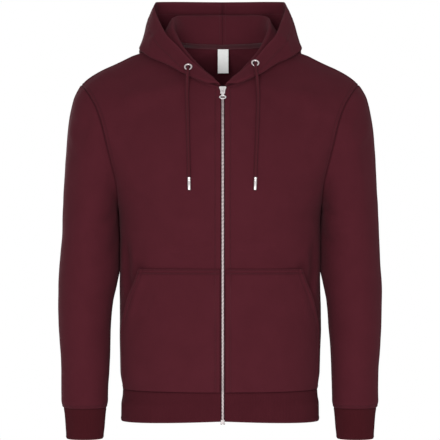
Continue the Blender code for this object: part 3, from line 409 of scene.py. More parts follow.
def hump(q):
    """1 at 0, with a soft fall to either side."""
    return np.exp(-(q**2))


def wander(places):
    """Smooth noise at those places, always the same."""
    return np.array([noise.noise(Vector(place)) for place in places])


# A crease: how much of its length it takes to fade, how far its toe lies and how wide it is
CREASE_FADE, TOE_AT, TOE_WIDTH = 0.35, 1.9, 0.9
# Half widths of a seam's groove and of the dip of a stitch row
GROOVE, STITCH_DIP = 0.0014, 0.0011


class Panel:
    """A cloth panel as a grid of outer points with normals, pattern lengths and relief."""

    def __init__(self, points, normals, keys=None):
        self.points, self.normals = points, normals
        self.keys = points[..., (0, 2)] if keys is None else keys
        # Relief; free edges made lighter by wear and by painted highlight; painted shade in grooves and folds
        self.rise, self.wear, self.shade = (np.zeros(points.shape[:2]) for _ in range(3))
        self.full = np.ones(points.shape[:2])
        steps = np.linalg.norm(np.diff(points, axis=0), axis=2).mean(axis=1)
        rows = np.concatenate([[0], np.cumsum(steps)])
        columns = run_of(points.transpose(1, 0, 2)).T
        self.pattern = np.stack([columns, np.broadcast_to(rows[:, None], columns.shape)], axis=2)

    def gap_to(self, line):
        """How far each point is from a line on the panel."""
        return reach_to(self.points, line)[0]

    def line(self, keys):
        """A smooth line on the panel through places given by their keys."""
        return line_over(self.points.reshape(-1, 3), self.keys.reshape(-1, 2), keys)

    def ridge(self, line, width, height, start=0.0, end=0.0, toe=0.35):
        """A soft ridge (or trough, if height is below 0) along a line, fading at its ends."""
        gap, along = reach_to(self.points, line)
        fade = start + (1 - start) * np.clip(along / CREASE_FADE, 0, 1)
        fade = ease(fade * (end + (1 - end) * np.clip((1 - along) / CREASE_FADE, 0, 1)))
        q = gap / width
        self.rise += height * fade * (hump(q) - toe * hump((q - TOE_AT) / TOE_WIDTH))

    def creases(self, table):
        """The ridges and troughs of a table, each along its own keys."""
        for keys, *shape in table:
            self.ridge(self.line(keys), *shape)

    def uneven(self, waves, seed=0):
        """Broad and fine unevenness of the cloth, always the same."""
        for size, height, more in waves:
            drift = Vector(((seed + more) * 1.7, (seed + more) * 3.1, (seed + more) * 0.9))
            values = wander(Vector(p) / size + drift for p in self.points.reshape(-1, 3))
            self.rise += height * values.reshape(self.rise.shape)

    def calm(self, gap, reach):
        """Takes the relief away towards a seam."""
        self.rise *= ease(gap / reach)

    def dark(self, gap, width=0.0016, depth=1.0):
        """Painted shade: darkens the colour of a groove or fold, where little light gets in."""
        self.shade = np.maximum(self.shade, depth * hump(gap / width))

    def seam(self, gap, stitch=0.006, sink=0.0010, puff=0.0004, shade=0.8):
        """A seam's groove, the fold of cloth beside it and the dip under its stitches, with painted shade in
        the groove and along the stitches.
        """
        self.rise += -sink * hump(gap / GROOVE)
        self.dark(gap, depth=shade)
        if stitch:
            self.rise += puff * hump((gap - stitch * 0.55) / (stitch * 0.35))
            self.row(gap - stitch)

    def row(self, gap, sink=0.0004):
        """The dip that a row of stitches pulls into the cloth, with painted shade along it."""
        self.rise += -sink * hump(gap / STITCH_DIP)
        self.dark(gap, 0.0010, 0.4)

    def outer(self):
        return self.points + self.normals * self.rise[..., None]


# ---------------- meshes


def new_piece(name, mesh, finish):
    mesh.materials.clear()
    mesh.materials.append(finish)
    thing = bpy.data.objects.new(name, mesh)
    bpy.context.scene.collection.objects.link(thing)
    return thing


def tidy_mesh(mesh, merge=1e-6, sharp=None):
    """Merges doubles and turns the faces of a closed mesh outwards."""
    shape = bmesh.new()
    shape.from_mesh(mesh)
    bmesh.ops.remove_doubles(shape, verts=shape.verts[:], dist=merge)
    bmesh.ops.dissolve_degenerate(shape, edges=shape.edges[:], dist=1e-7)
    bmesh.ops.recalc_face_normals(shape, faces=shape.faces[:])
    if shape.calc_volume(signed=True) < 0:
        bmesh.ops.reverse_faces(shape, faces=shape.faces[:])
    shape.to_mesh(mesh)
    shape.free()
    mesh.shade_smooth()
    if sharp:
        mesh.set_sharp_from_angle(angle=radians(sharp))
    return mesh


def mesh_of(name, points, faces, uv=None, values=None):
    """A mesh from points and faces; uv and values are given by point."""
    mesh = bpy.data.meshes.new(name)
    mesh.from_pydata([tuple(p) for p in np.reshape(points, (-1, 3))], [], [tuple(f) for f in faces])
    if uv is not None:
        corner = np.empty(len(mesh.loops), np.int32)
        mesh.loops.foreach_get("vertex_index", corner)
        layer = mesh.uv_layers.new(name="pattern")
        layer.data.foreach_set("uv", np.reshape(uv, (-1, 2))[corner].astype(np.float32).ravel())
    for key, value in (values or {}).items():
        value = np.asarray(value, np.float32)
        if value.ndim == 2:
            mesh.attributes.new(key, "FLOAT_VECTOR", "POINT").data.foreach_set("vector", value.ravel())
        else:
            mesh.attributes.new(key, "FLOAT", "POINT").data.foreach_set("value", value)
    return mesh


def solid_piece(name, points, faces, finish, slot, merge=1e-6, sharp=None, values=None):
    """A closed piece from points and faces."""
    return new_piece(name, tidy_mesh(mesh_of(name, points, faces, values=values), merge, sharp), finish)


def grid_quads(rows, columns, first=0):
    index = np.arange(rows * columns).reshape(rows, columns) + first
    return np.stack([index[:-1, :-1], index[:-1, 1:], index[1:, 1:], index[1:, :-1]], axis=2).reshape(-1, 4)


def edge_run(rows, columns, edge, first=0):
    """Point numbers along one edge of a grid: low, high, inner or outer."""
    index = np.arange(rows * columns).reshape(rows, columns) + first
    return {"low": index[0], "high": index[-1], "inner": index[:, 0], "outer": index[:, -1]}[edge]


def shell(name, panels, thick, walls, extra=None):
    """A closed thin shell over one or more panels; walls names each panel's free edges."""
    outers, inners, quads, edges, count = [], [], [], [], 0
    for panel, free in zip(panels, walls):
        rows, columns = panel.points.shape[:2]
        outer = panel.outer()
        outers.append(outer.reshape(-1, 3))
        inners.append((outer - panel.normals * (thick * panel.full)[..., None]).reshape(-1, 3))
        quads.append(grid_quads(rows, columns, count))
        for edge in free:
            edge, part = (edge, slice(None)) if isinstance(edge, str) else edge
            edges.append(edge_run(rows, columns, edge, count)[part].tolist())
        count += rows * columns
    quads = np.concatenate(quads)
    faces = [*quads.tolist(), *(quads[:, ::-1] + count).tolist()]
    for run in edges:
        faces += [[a, b, b + count, a + count] for a, b in zip(run[:-1], run[1:])]

    def twice(values):
        """Values by point for the outer face, and again for the inner one."""
        values = np.concatenate(values)
        return np.concatenate([values, values])

    values = {"wear": twice([panel.wear.ravel() for panel in panels])}
    values["shade"] = twice([panel.shade.ravel() for panel in panels])
    values["outside"] = np.repeat((1.0, 0.0), count)
    for key, value in (extra or {}).items():
        values[key] = twice([value])
    uv = twice([panel.pattern.reshape(-1, 2) for panel in panels])
    return mesh_of(name, np.concatenate(outers + inners), faces, uv, values)


def ring_faces(rings, sides):
    """The quads between rings of points that follow one another."""
    index = np.arange(rings * sides).reshape(rings, sides)
    after = np.roll(index, -1, axis=1)
    return np.stack([index[:-1], after[:-1], after[1:], index[1:]], axis=2).reshape(-1, 4).tolist()


def tube(line, radii, sides):
    """Points and faces of a closed tube round a line of points; radii by ring and side."""
    along = unit(np.gradient(line, axis=0))
    across = unit(np.cross(along[0], (0, 1, 0)))
    rings = []
    for point, way, radius in zip(line, along, radii):
        across = unit(across - way * np.dot(across, way))
        rings.append(point + spokes(across, np.cross(way, across), sides) * radius[:, None])
    faces = ring_faces(len(line), sides)
    last = len(line) * sides
    faces += [list(range(sides))[::-1], list(range(last - sides, last))]
    return np.reshape(rings, (-1, 3)), faces


def turned(profile, middle, out, sides):
    """Points and faces of a ring turned about an axis; the profile (radius, height) is closed."""
    first = unit(np.cross(out, (0, 0, 1)))
    ways = spokes(first, np.cross(out, first), sides)
    points = np.array([[middle + way * r + out * h for r, h in profile] for way in ways])
    index = np.arange(sides * len(profile)).reshape(sides, len(profile))
    after = np.roll(index, -1, axis=0)
    faces = np.stack([index, after, np.roll(after, -1, axis=1), np.roll(index, -1, axis=1)], axis=2)
    return points.reshape(-1, 3), faces.reshape(-1, 4).tolist()


def round_piece(stations, along, radii, sides):
    """Points and faces of rings about one straight axis, closed at both ends."""
    first = unit(np.cross(along, (0, 1, 0)))
    ways = spokes(first, np.cross(along, first), sides)
    rings = [station + ways * max(radius, 1e-7) for station, radius in zip(stations, radii)]
    return np.reshape(rings, (-1, 3)), ring_faces(len(rings), sides)


# ---------------- torso panels


def read_rows(rows, levels):
    """The rows at those levels; their inner edge has a corner where the neckline starts."""
    levels = np.atleast_1d(np.asarray(levels, float))
    table = read_table(rows, levels)
    neck = FRONT_NECK_LEVEL if rows is FRONT_ROWS else BACK_NECK_LEVEL
    below = [row for row in rows if row[0] <= neck]
    above = levels > neck
    table[~above, 0:3] = read_table(below, levels[~above])[:, 0:3]
    if above.any():
        neckline = [row for row in rows if row[0] >= neck]
        table[above, 0:3] = read_table(neckline, levels[above])[:, 0:3]
    return table


def torso_grid(rows, levels, across):
    """Points of half a torso panel: a row for each level, from its inner to its outer edge."""
    table = read_rows(rows, levels)
    inner, outer = table[:, None, 0:3], table[:, None, 3:6]
    turn = np.radians(np.minimum(table[:, 6], 90))[:, None]
    angle = across * turn
    side = (np.sin(angle) / np.sin(turn)) ** SQUARENESS
    back = np.maximum(np.cos(turn), 0) ** SQUARENESS
    depth = (np.maximum(np.cos(angle), 0) ** SQUARENESS - back) / (1 - back)
    grid = inner + (outer - inner) * side[..., None]
    near_top = np.clip((np.atleast_1d(levels) - FRONT_NECK_LEVEL) / (2 - FRONT_NECK_LEVEL), 0, 1)
    grid[..., 2] += SHOULDER_ROUND * near_top[:, None] * side**6 * (1 - side)
    grid[..., 1] = outer[..., 1] + (inner[..., 1] - outer[..., 1]) * depth
    return grid


def columns_at(rows, levels, from_inner, from_outer, middle):
    """For each row, the shares across it that lie those distances from its two edges."""
    dense = (1 - np.cos(np.linspace(0, pi, 500))) / 2
    grid = torso_grid(rows, levels, dense)
    length = run_of(grid.transpose(1, 0, 2)).T
    across = []
    for row in length:
        ends = np.array(from_inner), row[-1] - np.array(from_outer)[::-1]
        steps = np.linspace(ends[0][-1], ends[1][0], middle + 2)[1:-1]
        across.append(np.interp(np.concatenate([ends[0], steps, ends[1]]), row, dense))
    return np.array(across)


# Stitch rows: how far from its edge or seam each one runs
ZIP_ROW, NECK_ROW, SHOULDER_ROW = 0.0098, 0.0062, 0.0055
ARMHOLE_ROW, HEM_ROW, CUFF_ROW = 0.0060, 0.0048, 0.0050
HOOD_CASING_ROW, HOOD_SEAM_ROW = 0.0240, 0.0060
POCKET_TOP_ROWS, POCKET_SIDE_ROWS = (0.0020, 0.0085), (0.0025, 0.0110)
TAPE_ROW = 0.0012

# Where points lie: across the cloth from an edge, in metres, and in levels from the hem and from the top
EDGE_STEPS = (0.0, 0.0005, 0.0011, 0.0018, 0.0028, 0.0042, 0.0060)
ZIP_STEPS = (
    0.0, 0.0005, 0.0011, 0.0018, 0.0030, 0.0045, 0.0060, 0.0072, 0.0082, 0.0090, 0.0098, 0.0108, 0.0122,
)
LOW_STARTS = (0.0, 0.0016, 0.0036, 0.0058, 0.0090, 0.0135, 0.0190)
TOP_STARTS = (0.0, 0.0009, 0.0020, 0.0033, 0.0050, 0.0074, 0.0106)


def fine_levels(neck_level):
    low = np.concatenate([LOW_STARTS, np.linspace(0.0190, 1, 86)[1:]])
    chest = np.linspace(1, neck_level, 66)[1:]
    neck = np.linspace(neck_level, 2 - TOP_STARTS[-1], 46)[1:]
    return np.concatenate([low, chest, neck, 2 - np.array(TOP_STARTS)[-2::-1]])


# Fullness of the cloth along the shoulder, between hood and sleeve: where it starts and how it fades
SHOULDER_LIFT = 0.0030
LIFT_FROM_X, LIFT_IN, LIFT_TO_X, LIFT_OUT = 0.146, 0.024, 0.254, 0.044
LIFT_LEVEL, LIFT_LEVELS = 1.40, 0.45


class Half:
    """Half a front or back: its levels, outer points and normals, and which rows are where."""

    def __init__(self, rows, neck_level, inner_steps, columns, flip):
        self.levels = levels = fine_levels(neck_level)
        self.low, self.up, self.neck = levels <= 1, levels >= 1, levels >= neck_level
        self.body = levels <= neck_level
        across = columns_at(rows, levels, inner_steps, EDGE_STEPS, columns)
        self.grid = torso_grid(rows, levels, across)
        x = self.grid[..., 0]
        along = ease((x - LIFT_FROM_X) / LIFT_IN) * ease((LIFT_TO_X - x) / LIFT_OUT)
        self.grid[..., 2] += SHOULDER_LIFT * along * ease((levels[:, None] - LIFT_LEVEL) / LIFT_LEVELS)
        self.normals = grid_normals(self.grid, flip)


class Torso:
    """Half a front and half a back, with the same normals where they meet."""

    def __init__(self):
        self.front = front = Half(FRONT_ROWS, FRONT_NECK_LEVEL, ZIP_STEPS, 52, False)
        self.back = back = Half(BACK_ROWS, BACK_NECK_LEVEL, EDGE_STEPS, 56, True)
        side = unit(front.normals[front.low, -1] + back.normals[back.low, -1])
        front.normals[front.low, -1] = back.normals[back.low, -1] = side
        shoulder = unit(front.normals[-1, -1] + back.normals[-1, -1])
        front.normals[-1, -1] = back.normals[-1, -1] = shoulder
        at_front, at_back = (at / at[-1] for at in (run_of(front.grid[-1]), run_of(back.grid[-1])))
        front_n, back_n = front.normals[-1].copy(), back.normals[-1].copy()
        front.normals[-1] = unit(front_n + read_columns(at_front, at_back, back_n))
        back.normals[-1] = unit(back_n + read_columns(at_back, at_front, front_n))
        back.normals[back.body, 0, 0] = 0.0
        back.normals = unit(back.normals)


# Creases and soft swells: x and z along each, half width, height,
# how much of it is left at its start and at its end
FRONT_CREASES = {
    "front_left": (
        (((0.196, -0.140), (0.176, -0.170), (0.160, -0.215)), 0.010, -0.0012, 0.6, 0.0),
        (((0.192, -0.250), (0.170, -0.262), (0.142, -0.290)), 0.009, -0.0011, 0.8, 0.0),
        (((0.180, -0.330), (0.150, -0.322), (0.115, -0.330)), 0.010, 0.0010, 0.7, 0.0),
        (((0.018, -0.345), (0.050, -0.352), (0.092, -0.347)), 0.007, -0.0009, 0.7, 0.0),
        (((0.016, -0.372), (0.045, -0.376), (0.110, -0.368)), 0.006, -0.0008, 0.8, 0.0),
        (((0.030, -0.120), (0.060, -0.135), (0.100, -0.128)), 0.016, -0.0010, 0.3, 0.0),
        (((0.150, -0.070), (0.170, -0.100), (0.186, -0.140)), 0.014, 0.0014, 0.2, 0.2),
        (((0.120, -0.590), (0.150, -0.600), (0.175, -0.595)), 0.009, 0.0008, 0.0, 0.5),
        (((0.175, -0.350), (0.1715, -0.396), (0.169, -0.434), (0.163, -0.464)), 0.011, -0.0030, 0.1, 0.8),
        (((0.160, -0.300), (0.130, -0.345), (0.085, -0.385)), 0.016, 0.0009, 0.2, 0.0),
    ),
    "front_right": (
        (((-0.194, -0.150), (-0.172, -0.184), (-0.150, -0.232)), 0.011, -0.0013, 0.6, 0.0),
        (((-0.190, -0.262), (-0.166, -0.270), (-0.128, -0.300)), 0.008, -0.0010, 0.8, 0.0),
        (((-0.182, -0.345), (-0.150, -0.340), (-0.110, -0.352)), 0.010, 0.0009, 0.7, 0.0),
        (((-0.008, -0.352), (-0.040, -0.360), (-0.088, -0.350)), 0.007, -0.0010, 0.8, 0.0),
        (((-0.008, -0.380), (-0.060, -0.383), (-0.120, -0.377)), 0.006, -0.0008, 0.8, 0.0),
        (((-0.028, -0.300), (-0.060, -0.296), (-0.090, -0.306)), 0.010, -0.0008, 0.2, 0.0),
        (((-0.150, -0.074), (-0.168, -0.104), (-0.182, -0.146)), 0.014, 0.0014, 0.2, 0.2),
        (((-0.110, -0.596), (-0.145, -0.606), (-0.176, -0.600)), 0.009, 0.0008, 0.0, 0.5),
        (((-0.174, -0.343), (-0.172, -0.394), (-0.169, -0.434), (-0.162, -0.460)), 0.011, -0.0034, 0.1, 0.8),
        (((-0.165, -0.310), (-0.135, -0.350), (-0.080, -0.392)), 0.016, 0.0009, 0.2, 0.0),
    ),
}
BACK_CREASES = (
    (((0.190, -0.170), (0.150, -0.215), (0.115, -0.285)), 0.013, -0.0022, 0.7, 0.0),
    (((0.186, -0.245), (0.150, -0.285), (0.120, -0.345)), 0.011, -0.0018, 0.8, 0.0),
    (((-0.188, -0.178), (-0.150, -0.230), (-0.122, -0.300)), 0.013, -0.0020, 0.7, 0.0),
    (((-0.186, -0.252), (-0.148, -0.300), (-0.125, -0.360)), 0.011, -0.0019, 0.8, 0.0),
    (((-0.080, -0.440), (0.000, -0.452), (0.085, -0.438)), 0.012, -0.0016, 0.0, 0.0),
    (((-0.110, -0.490), (-0.020, -0.505), (0.060, -0.496)), 0.011, 0.0014, 0.0, 0.0),
    (((-0.060, -0.560), (0.030, -0.566), (0.120, -0.552)), 0.010, -0.0012, 0.0, 0.0),
    (((0.120, -0.390), (0.070, -0.410), (0.010, -0.405)), 0.010, 0.0012, 0.3, 0.0),
)


# The deep fold of the front over each pocket's mouth
POCKET_FOLD = ((0.174, -0.343), (0.1715, -0.396), (0.169, -0.434), (0.162, -0.462))
# Broad and fine unevenness: size, height, and what it adds to the piece's seed
FRONT_WAVES = ((0.085, 0.0022, 0), (0.030, 0.0005, 20))
BACK_WAVES = ((0.090, 0.0030, 14), (0.032, 0.0006, 31))
# How far beside each seam the cloth lies calm
CALM_REACH = {"zip": 0.012, "neck": 0.014, "armhole": 0.014, "side": 0.012, "shoulder": 0.014}
# The armhole seam grows shallow towards the armpit: its full depth, where that starts and how fast
ARMHOLE_DEPTH, ARMPIT_Z, ARMPIT_FADE = 0.0012, -0.320, 0.060
# Gathers where the body is sewn to the tighter hem band: how far up they reach, waves a metre
PUCKER_REACH, PUCKERS, FINE_PUCKERS = 0.013, 55, 120


def armhole_depth(panel):
    """How deep the armhole seam lies: less and less towards the armpit."""
    return ARMHOLE_DEPTH * ease((panel.points[..., 2] - ARMPIT_Z) / ARMPIT_FADE)


def torso_panel(half, side, neck_start, hem_start):
    """Half a front or back, just off its seams, with its seam lines and its rows of stitches."""
    low, up, neck = half.low, half.up, half.neck
    points = half.grid.copy()
    points[0] += unit(points[1] - points[0]) * SEAM_GAP / 2
    points[-1] += unit(points[-2] - points[-1]) * SEAM_GAP / 2
    points[low, -1] += unit(points[low, -2] - points[low, -1]) * SEAM_GAP / 2
    panel = Panel(place(points, side), mirrored(half.normals, side))
    points = panel.points
    panel.edges = {
        "neck": points[neck, 0], "side": points[low, -1], "armhole": points[up, -1],
        "hem": points[0], "shoulder": points[-1],
    }
    panel.rows = [
        (points[neck, 0], points[neck, 9], NECK_ROW, (neck_start, 0.002)),
        (points[up, -1], points[up, -8], ARMHOLE_ROW, (0.001, 0.003)),
        (points[-1], points[-7], SHOULDER_ROW, (0.004, 0.004)),
        (points[0], points[7], HEM_ROW, (hem_start, 0.001)),
    ]
    return panel


def sew_torso(panel):
    """Calms the cloth beside a torso panel's seams and sinks the seams; gives the gaps to them."""
    gaps = {key: panel.gap_to(line[::2]) for key, line in panel.edges.items()}
    for key, reach in CALM_REACH.items():
        if key in gaps:
            panel.calm(gaps[key], reach)
    panel.calm(gaps["hem"] + 0.002, 0.004)
    # shade sets how strong the painted shade in each seam's groove is
    panel.seam(gaps["neck"], stitch=NECK_ROW)
    panel.seam(gaps["armhole"], stitch=ARMHOLE_ROW, sink=armhole_depth(panel), shade=0.5)
    panel.seam(gaps["side"], stitch=0, sink=0.0002)
    panel.seam(gaps["shoulder"], stitch=SHOULDER_ROW)
    panel.seam(gaps["hem"], stitch=HEM_ROW, sink=0.0005, shade=0.15)
    return gaps


def hem_puckers(panel, seed, height, finer):
    """Small gathers where the body is sewn to the tighter hem band."""
    across = panel.pattern[0, :, 0]
    tugs = wander((u * PUCKERS, seed, 0) for u in across)
    tugs = tugs + finer * wander((u * FINE_PUCKERS, seed, 4) for u in across)
    panel.rise += height * hump(panel.pattern[..., 1] / PUCKER_REACH) * tugs[None, :]


def front_panels(torso):
    """Both front halves as panels with their relief."""
    panels = {}
    for name, side, seed in (("front_left", 1, 3), ("front_right", -1, 8)):
        panel = torso_panel(torso.front, side, 0.014, 0.002)
        zip_line = panel.edges["zip"] = panel.points[torso.front.body, 0]
        panel.rows.insert(0, (zip_line, panel.points[torso.front.body, 9], ZIP_ROW, (0.001, 0.004)))
        panel.uneven(FRONT_WAVES, seed)
        panel.creases(FRONT_CREASES[name])
        hem_puckers(panel, seed, 0.00112, 0.5)
        gaps = sew_torso(panel)
        panel.rise += -0.0004 * hump(gaps["zip"] / 0.0012)
        panel.row(gaps["zip"] - ZIP_ROW, 0.0005)
        # painted shadow on the front just outside the pocket's mouth, and painted shade along the fold over
        # it
        opening = panel.gap_to(panel.line([(x * side, z) for z, x in POCKET_EDGE[1:]]))
        panel.dark(opening, 0.014, 0.50)
        fold, along = reach_to(panel.points, panel.line([(x * side, z) for x, z in POCKET_FOLD]))
        panel.dark(fold, 0.012, 0.45 * ease(along / 0.5))
        panel.rise -= 0.0006 * hump(opening / 0.012)
        panels[name] = panel
    return panels


def back_panels(torso):
    """The two halves of the back, which share the points down the middle."""
    panels, half = [], torso.back
    whole = np.concatenate([place(half.grid, side).reshape(-1, 3) for side in (1, -1)])
    creases = [(line_over(whole, whole[:, (0, 2)], keys), *shape) for keys, *shape in BACK_CREASES]
    for side in (1, -1):
        panel = torso_panel(half, side, 0.0, 0.0)
        panel.pattern[..., 0] = (panel.pattern[..., 0] + half.grid[:, :1, 0]) * side
        panel.uneven(BACK_WAVES)
        for crease in creases:
            panel.ridge(*crease)
        hem_puckers(panel, 5.5, 0.0011, 0.0)
        sew_torso(panel)
        panels.append(panel)
    both = (panels[0].rise[half.body, 0] + panels[1].rise[half.body, 0]) / 2
    for panel in panels:
        panel.rise[half.body, 0] = both
    return panels


# The free edge of a rib: how deep it rounds and where the roll beside it stands
RIB_ROUND, RIB_ROUND_WIDTH, RIB_ROLL_AT, RIB_ROLL_WIDTH = 0.0006, 0.0014, 0.0042, 0.0022
HEM_COLUMNS = 330  # on each half front and half back


def round_rib(panel, gap):
    """Rounds a rib's free edge, with a low roll beside it and the edge made lighter along it by wear and by
    painted highlight.
    """
    panel.rise += RIB_ROUND * hump((gap - RIB_ROLL_AT) / RIB_ROLL_WIDTH)
    panel.rise -= RIB_ROUND * hump(gap / RIB_ROUND_WIDTH)
    panel.wear = hump(gap / 0.0016)


def hem_band_panel():
    """The rib band as one panel from the zip round the back to the zip."""
    levels = np.concatenate([[-1, -0.985, -0.96], np.linspace(-0.92, -0.06, 16), [-0.035, -0.015, 0]])
    grids = []
    for rows in (FRONT_ROWS, BACK_ROWS):
        across = columns_at(rows, levels, (0.0,), (0.0,), HEM_COLUMNS)
        grids.append(torso_grid(rows, levels, across))
    front, back = grids
    front_n, back_n = grid_normals(front), grid_normals(back, flip=True)
    front_n[:, -1] = back_n[:, -1] = unit(front_n[:, -1] + back_n[:, -1])
    back_n[:, 0, 0] = 0.0
    outer = np.concatenate([front, back[:, -2::-1]], axis=1)
    normals = unit(np.concatenate([front_n, back_n[:, -2::-1]], axis=1))
    outer[-1] += unit(outer[-2] - outer[-1]) * SEAM_GAP / 2
    panel = Panel(*both_sides(outer, normals, 1))
    foot_gap = panel.pattern[..., 1]
    top_gap = panel.pattern[-1, 0, 1] - foot_gap
    panel.rise += -0.0009 * hump(top_gap / 0.0015)
    # painted shade along the seam at the band's top
    panel.dark(top_gap, 0.0016, 0.15)
    round_rib(panel, foot_gap)
    tugs = wander((u * 40, 2.5, 0) for u in panel.pattern[0, :, 0])
    panel.rise += 0.0008 * tugs[None, :] * np.clip(top_gap / 0.006, 0, 1) * np.clip(foot_gap / 0.01, 0, 1)
    return panel


# ---------------- sleeves


def ellipse_ring(section, turns):
    """Points round one sleeve section: from the outside to the front, inside and back."""
    depth, outer_x, inner_x, front_y, back_y = section
    middle = np.array([(outer_x + inner_x) / 2, (front_y + back_y) / 2, -depth])
    wide, deep = (outer_x - inner_x) / 2, (back_y - front_y) / 2
    angle = 2 * pi * turns
    return middle + np.stack([wide * np.cos(angle), -deep * np.sin(angle), 0 * angle], axis=1)


def off_edge(points, normals, near, closed=False):
    """Unit directions that leave a panel square to its edge, in its own surface."""
    if closed:
        along = np.roll(points, -1, axis=0) - np.roll(points, 1, axis=0)
    else:
        along = np.gradient(points, axis=0)
    away = unit(np.cross(along, normals))
    turned = np.sum(away * (points - near), axis=1, keepdims=True)
    return np.where(turned < 0, -away, away)


SLEEVE_SIDES = 132
SLEEVE_GIRTH = 0.33  # round the sleeve, for its knit


def armhole(torso):
    """The armhole's points, normals and directions off the panels, evenly spaced."""
    front, back = torso.front, torso.back

    def round_it(values, column=-1):
        """Values up the front's edge and down the back's."""
        return np.concatenate([values(front)[front.up][::-1, column], values(back)[back.up][1:, column]])

    points = round_it(lambda half: half.grid)
    normals = round_it(lambda half: half.normals)
    near = round_it(lambda half: half.grid, -3)
    near[np.count_nonzero(front.up) - 1] = front.grid[front.levels < 1][-1, -1]
    at = run_of(points)
    wanted = np.linspace(0, at[-1], SLEEVE_SIDES + 1)[:-1]

    points, normals, near = (read_columns(wanted, at, values) for values in (points, normals, near))
    normals = unit(normals)
    away = off_edge(points, normals, near, closed=True)
    for _ in range(4):
        away = unit(np.roll(away, 1, axis=0) + 2 * away + np.roll(away, -1, axis=0))
    return points, normals, away


def sleeve_rings(torso):
    """Outer points of the sleeve, ring by ring from the armhole to the cuff."""
    points, normals, away = armhole(torso)
    turns = np.arange(SLEEVE_SIDES) / SLEEVE_SIDES
    under = (1 - np.cos(2 * pi * turns)) / 2
    side = np.abs(np.sin(2 * pi * turns))
    start = points + away * SEAM_GAP
    end = ellipse_ring(SLEEVE_SECTIONS[0], turns)
    follow = ellipse_ring(SLEEVE_SECTIONS[1], turns)
    reach = CAP_REACH_TOP + (CAP_REACH_UNDER - CAP_REACH_TOP) * under
    reach = reach + (CAP_REACH_SIDE - (CAP_REACH_TOP + CAP_REACH_UNDER) / 2) * side
    roll = ROLL_TOP + (ROLL_UNDER - ROLL_TOP) * under
    roll = roll + (ROLL_SIDE - (ROLL_TOP + ROLL_UNDER) / 2) * side
    leave = unit(away * (1 - roll)[:, None] + normals * roll[:, None]) * reach[:, None]
    arrive_reach = CAP_END_REACH_TOP + (CAP_END_REACH_UNDER - CAP_END_REACH_TOP) * under
    arrive = unit(follow - end) * arrive_reach[:, None]
    shares = np.concatenate([(0.0, 0.003, 0.007, 0.012, 0.019, 0.028), np.linspace(0.04, 0.98, 76)])
    rings = [hermite(start, end, leave, arrive, s) for s in shares]
    cuff = SLEEVE_SECTIONS[-1][0]
    depths = np.linspace(SLEEVE_SECTIONS[0][0], cuff - 0.0075, 78)
    depths = np.concatenate([depths, cuff - np.array((0.0052, 0.0032, 0.0018, 0.0008, 0.0))])
    table = read_table(SLEEVE_SECTIONS, depths)
    rings += [ellipse_ring((depth, *row), turns) for depth, row in zip(depths, table)]
    return np.array(rings), normals


def ring_normals(rings, first_normals=None):
    """Normals of closed rings, out of the tube."""
    around = np.roll(rings, -1, axis=1) - np.roll(rings, 1, axis=1)
    normals = unit(np.cross(around, np.gradient(rings, axis=0)))
    outwards = rings[-1] - rings[-1].mean(axis=0)
    if np.sum(normals[-1] * outwards) < 0:
        normals = -normals
    if first_normals is not None:
        normals[0] = first_normals
    return normals


def closed_panel(rings, normals, side):
    """A panel round a tube; its last column lies on its first."""
    rings = np.concatenate([rings, rings[:, :1]], axis=1)
    normals = np.concatenate([normals, normals[:, :1]], axis=1)
    turns = np.linspace(0, 1, rings.shape[1])
    keys = np.stack(np.broadcast_arrays(turns[None, :], rings[..., 2]), axis=2)
    panel = Panel(place(rings, side), mirrored(normals, side), keys)
    panel.pattern[..., 0] = turns[None, :] * SLEEVE_GIRTH
    return panel


# Turns round the sleeve (0 outside, 0.25 front, 0.5 inside, 0.75 back) and height
SLEEVE_CREASES = {
    "left": (
        (((0.06, -0.100), (0.14, -0.120), (0.20, -0.160)), 0.010, -0.0024, 0.4, 0.0),
        (((0.02, -0.135), (0.10, -0.160), (0.18, -0.200)), 0.010, 0.0016, 0.2, 0.0),
        (((0.40, -0.300), (0.30, -0.320), (0.20, -0.310)), 0.010, -0.0020, 0.8, 0.0),
        (((0.44, -0.350), (0.34, -0.372), (0.24, -0.368)), 0.010, -0.0016, 0.8, 0.0),
        (((0.42, -0.430), (0.30, -0.446), (0.18, -0.440)), 0.011, -0.0013, 0.7, 0.0),
        (((0.10, -0.600), (0.22, -0.612), (0.36, -0.604)), 0.009, -0.0010, 0.2, 0.2),
        (((0.60, -0.330), (0.72, -0.352), (0.84, -0.345)), 0.010, -0.0020, 0.8, 0.0),
        (((0.62, -0.410), (0.74, -0.426), (0.86, -0.415)), 0.010, -0.0016, 0.8, 0.0),
        (((0.60, -0.600), (0.75, -0.618), (0.90, -0.608)), 0.009, -0.0010, 0.2, 0.2),
    ),
    "right": (
        (((0.05, -0.104), (0.13, -0.128), (0.19, -0.172)), 0.010, -0.0022, 0.4, 0.0),
        (((0.02, -0.145), (0.10, -0.170), (0.17, -0.215)), 0.010, 0.0015, 0.2, 0.0),
        (((0.40, -0.310), (0.31, -0.334), (0.21, -0.330)), 0.010, -0.0019, 0.8, 0.0),
        (((0.44, -0.362), (0.33, -0.386), (0.22, -0.380)), 0.011, -0.0016, 0.8, 0.0),
        (((0.42, -0.455), (0.31, -0.470), (0.20, -0.462)), 0.011, -0.0012, 0.7, 0.0),
        (((0.12, -0.590), (0.24, -0.604), (0.38, -0.594)), 0.009, -0.0010, 0.2, 0.2),
        (((0.60, -0.320), (0.72, -0.340), (0.83, -0.336)), 0.010, -0.0020, 0.8, 0.0),
        (((0.62, -0.400), (0.73, -0.418), (0.85, -0.410)), 0.010, -0.0016, 0.8, 0.0),
        (((0.62, -0.590), (0.76, -0.606), (0.90, -0.598)), 0.009, -0.0010, 0.2, 0.2),
    ),
}


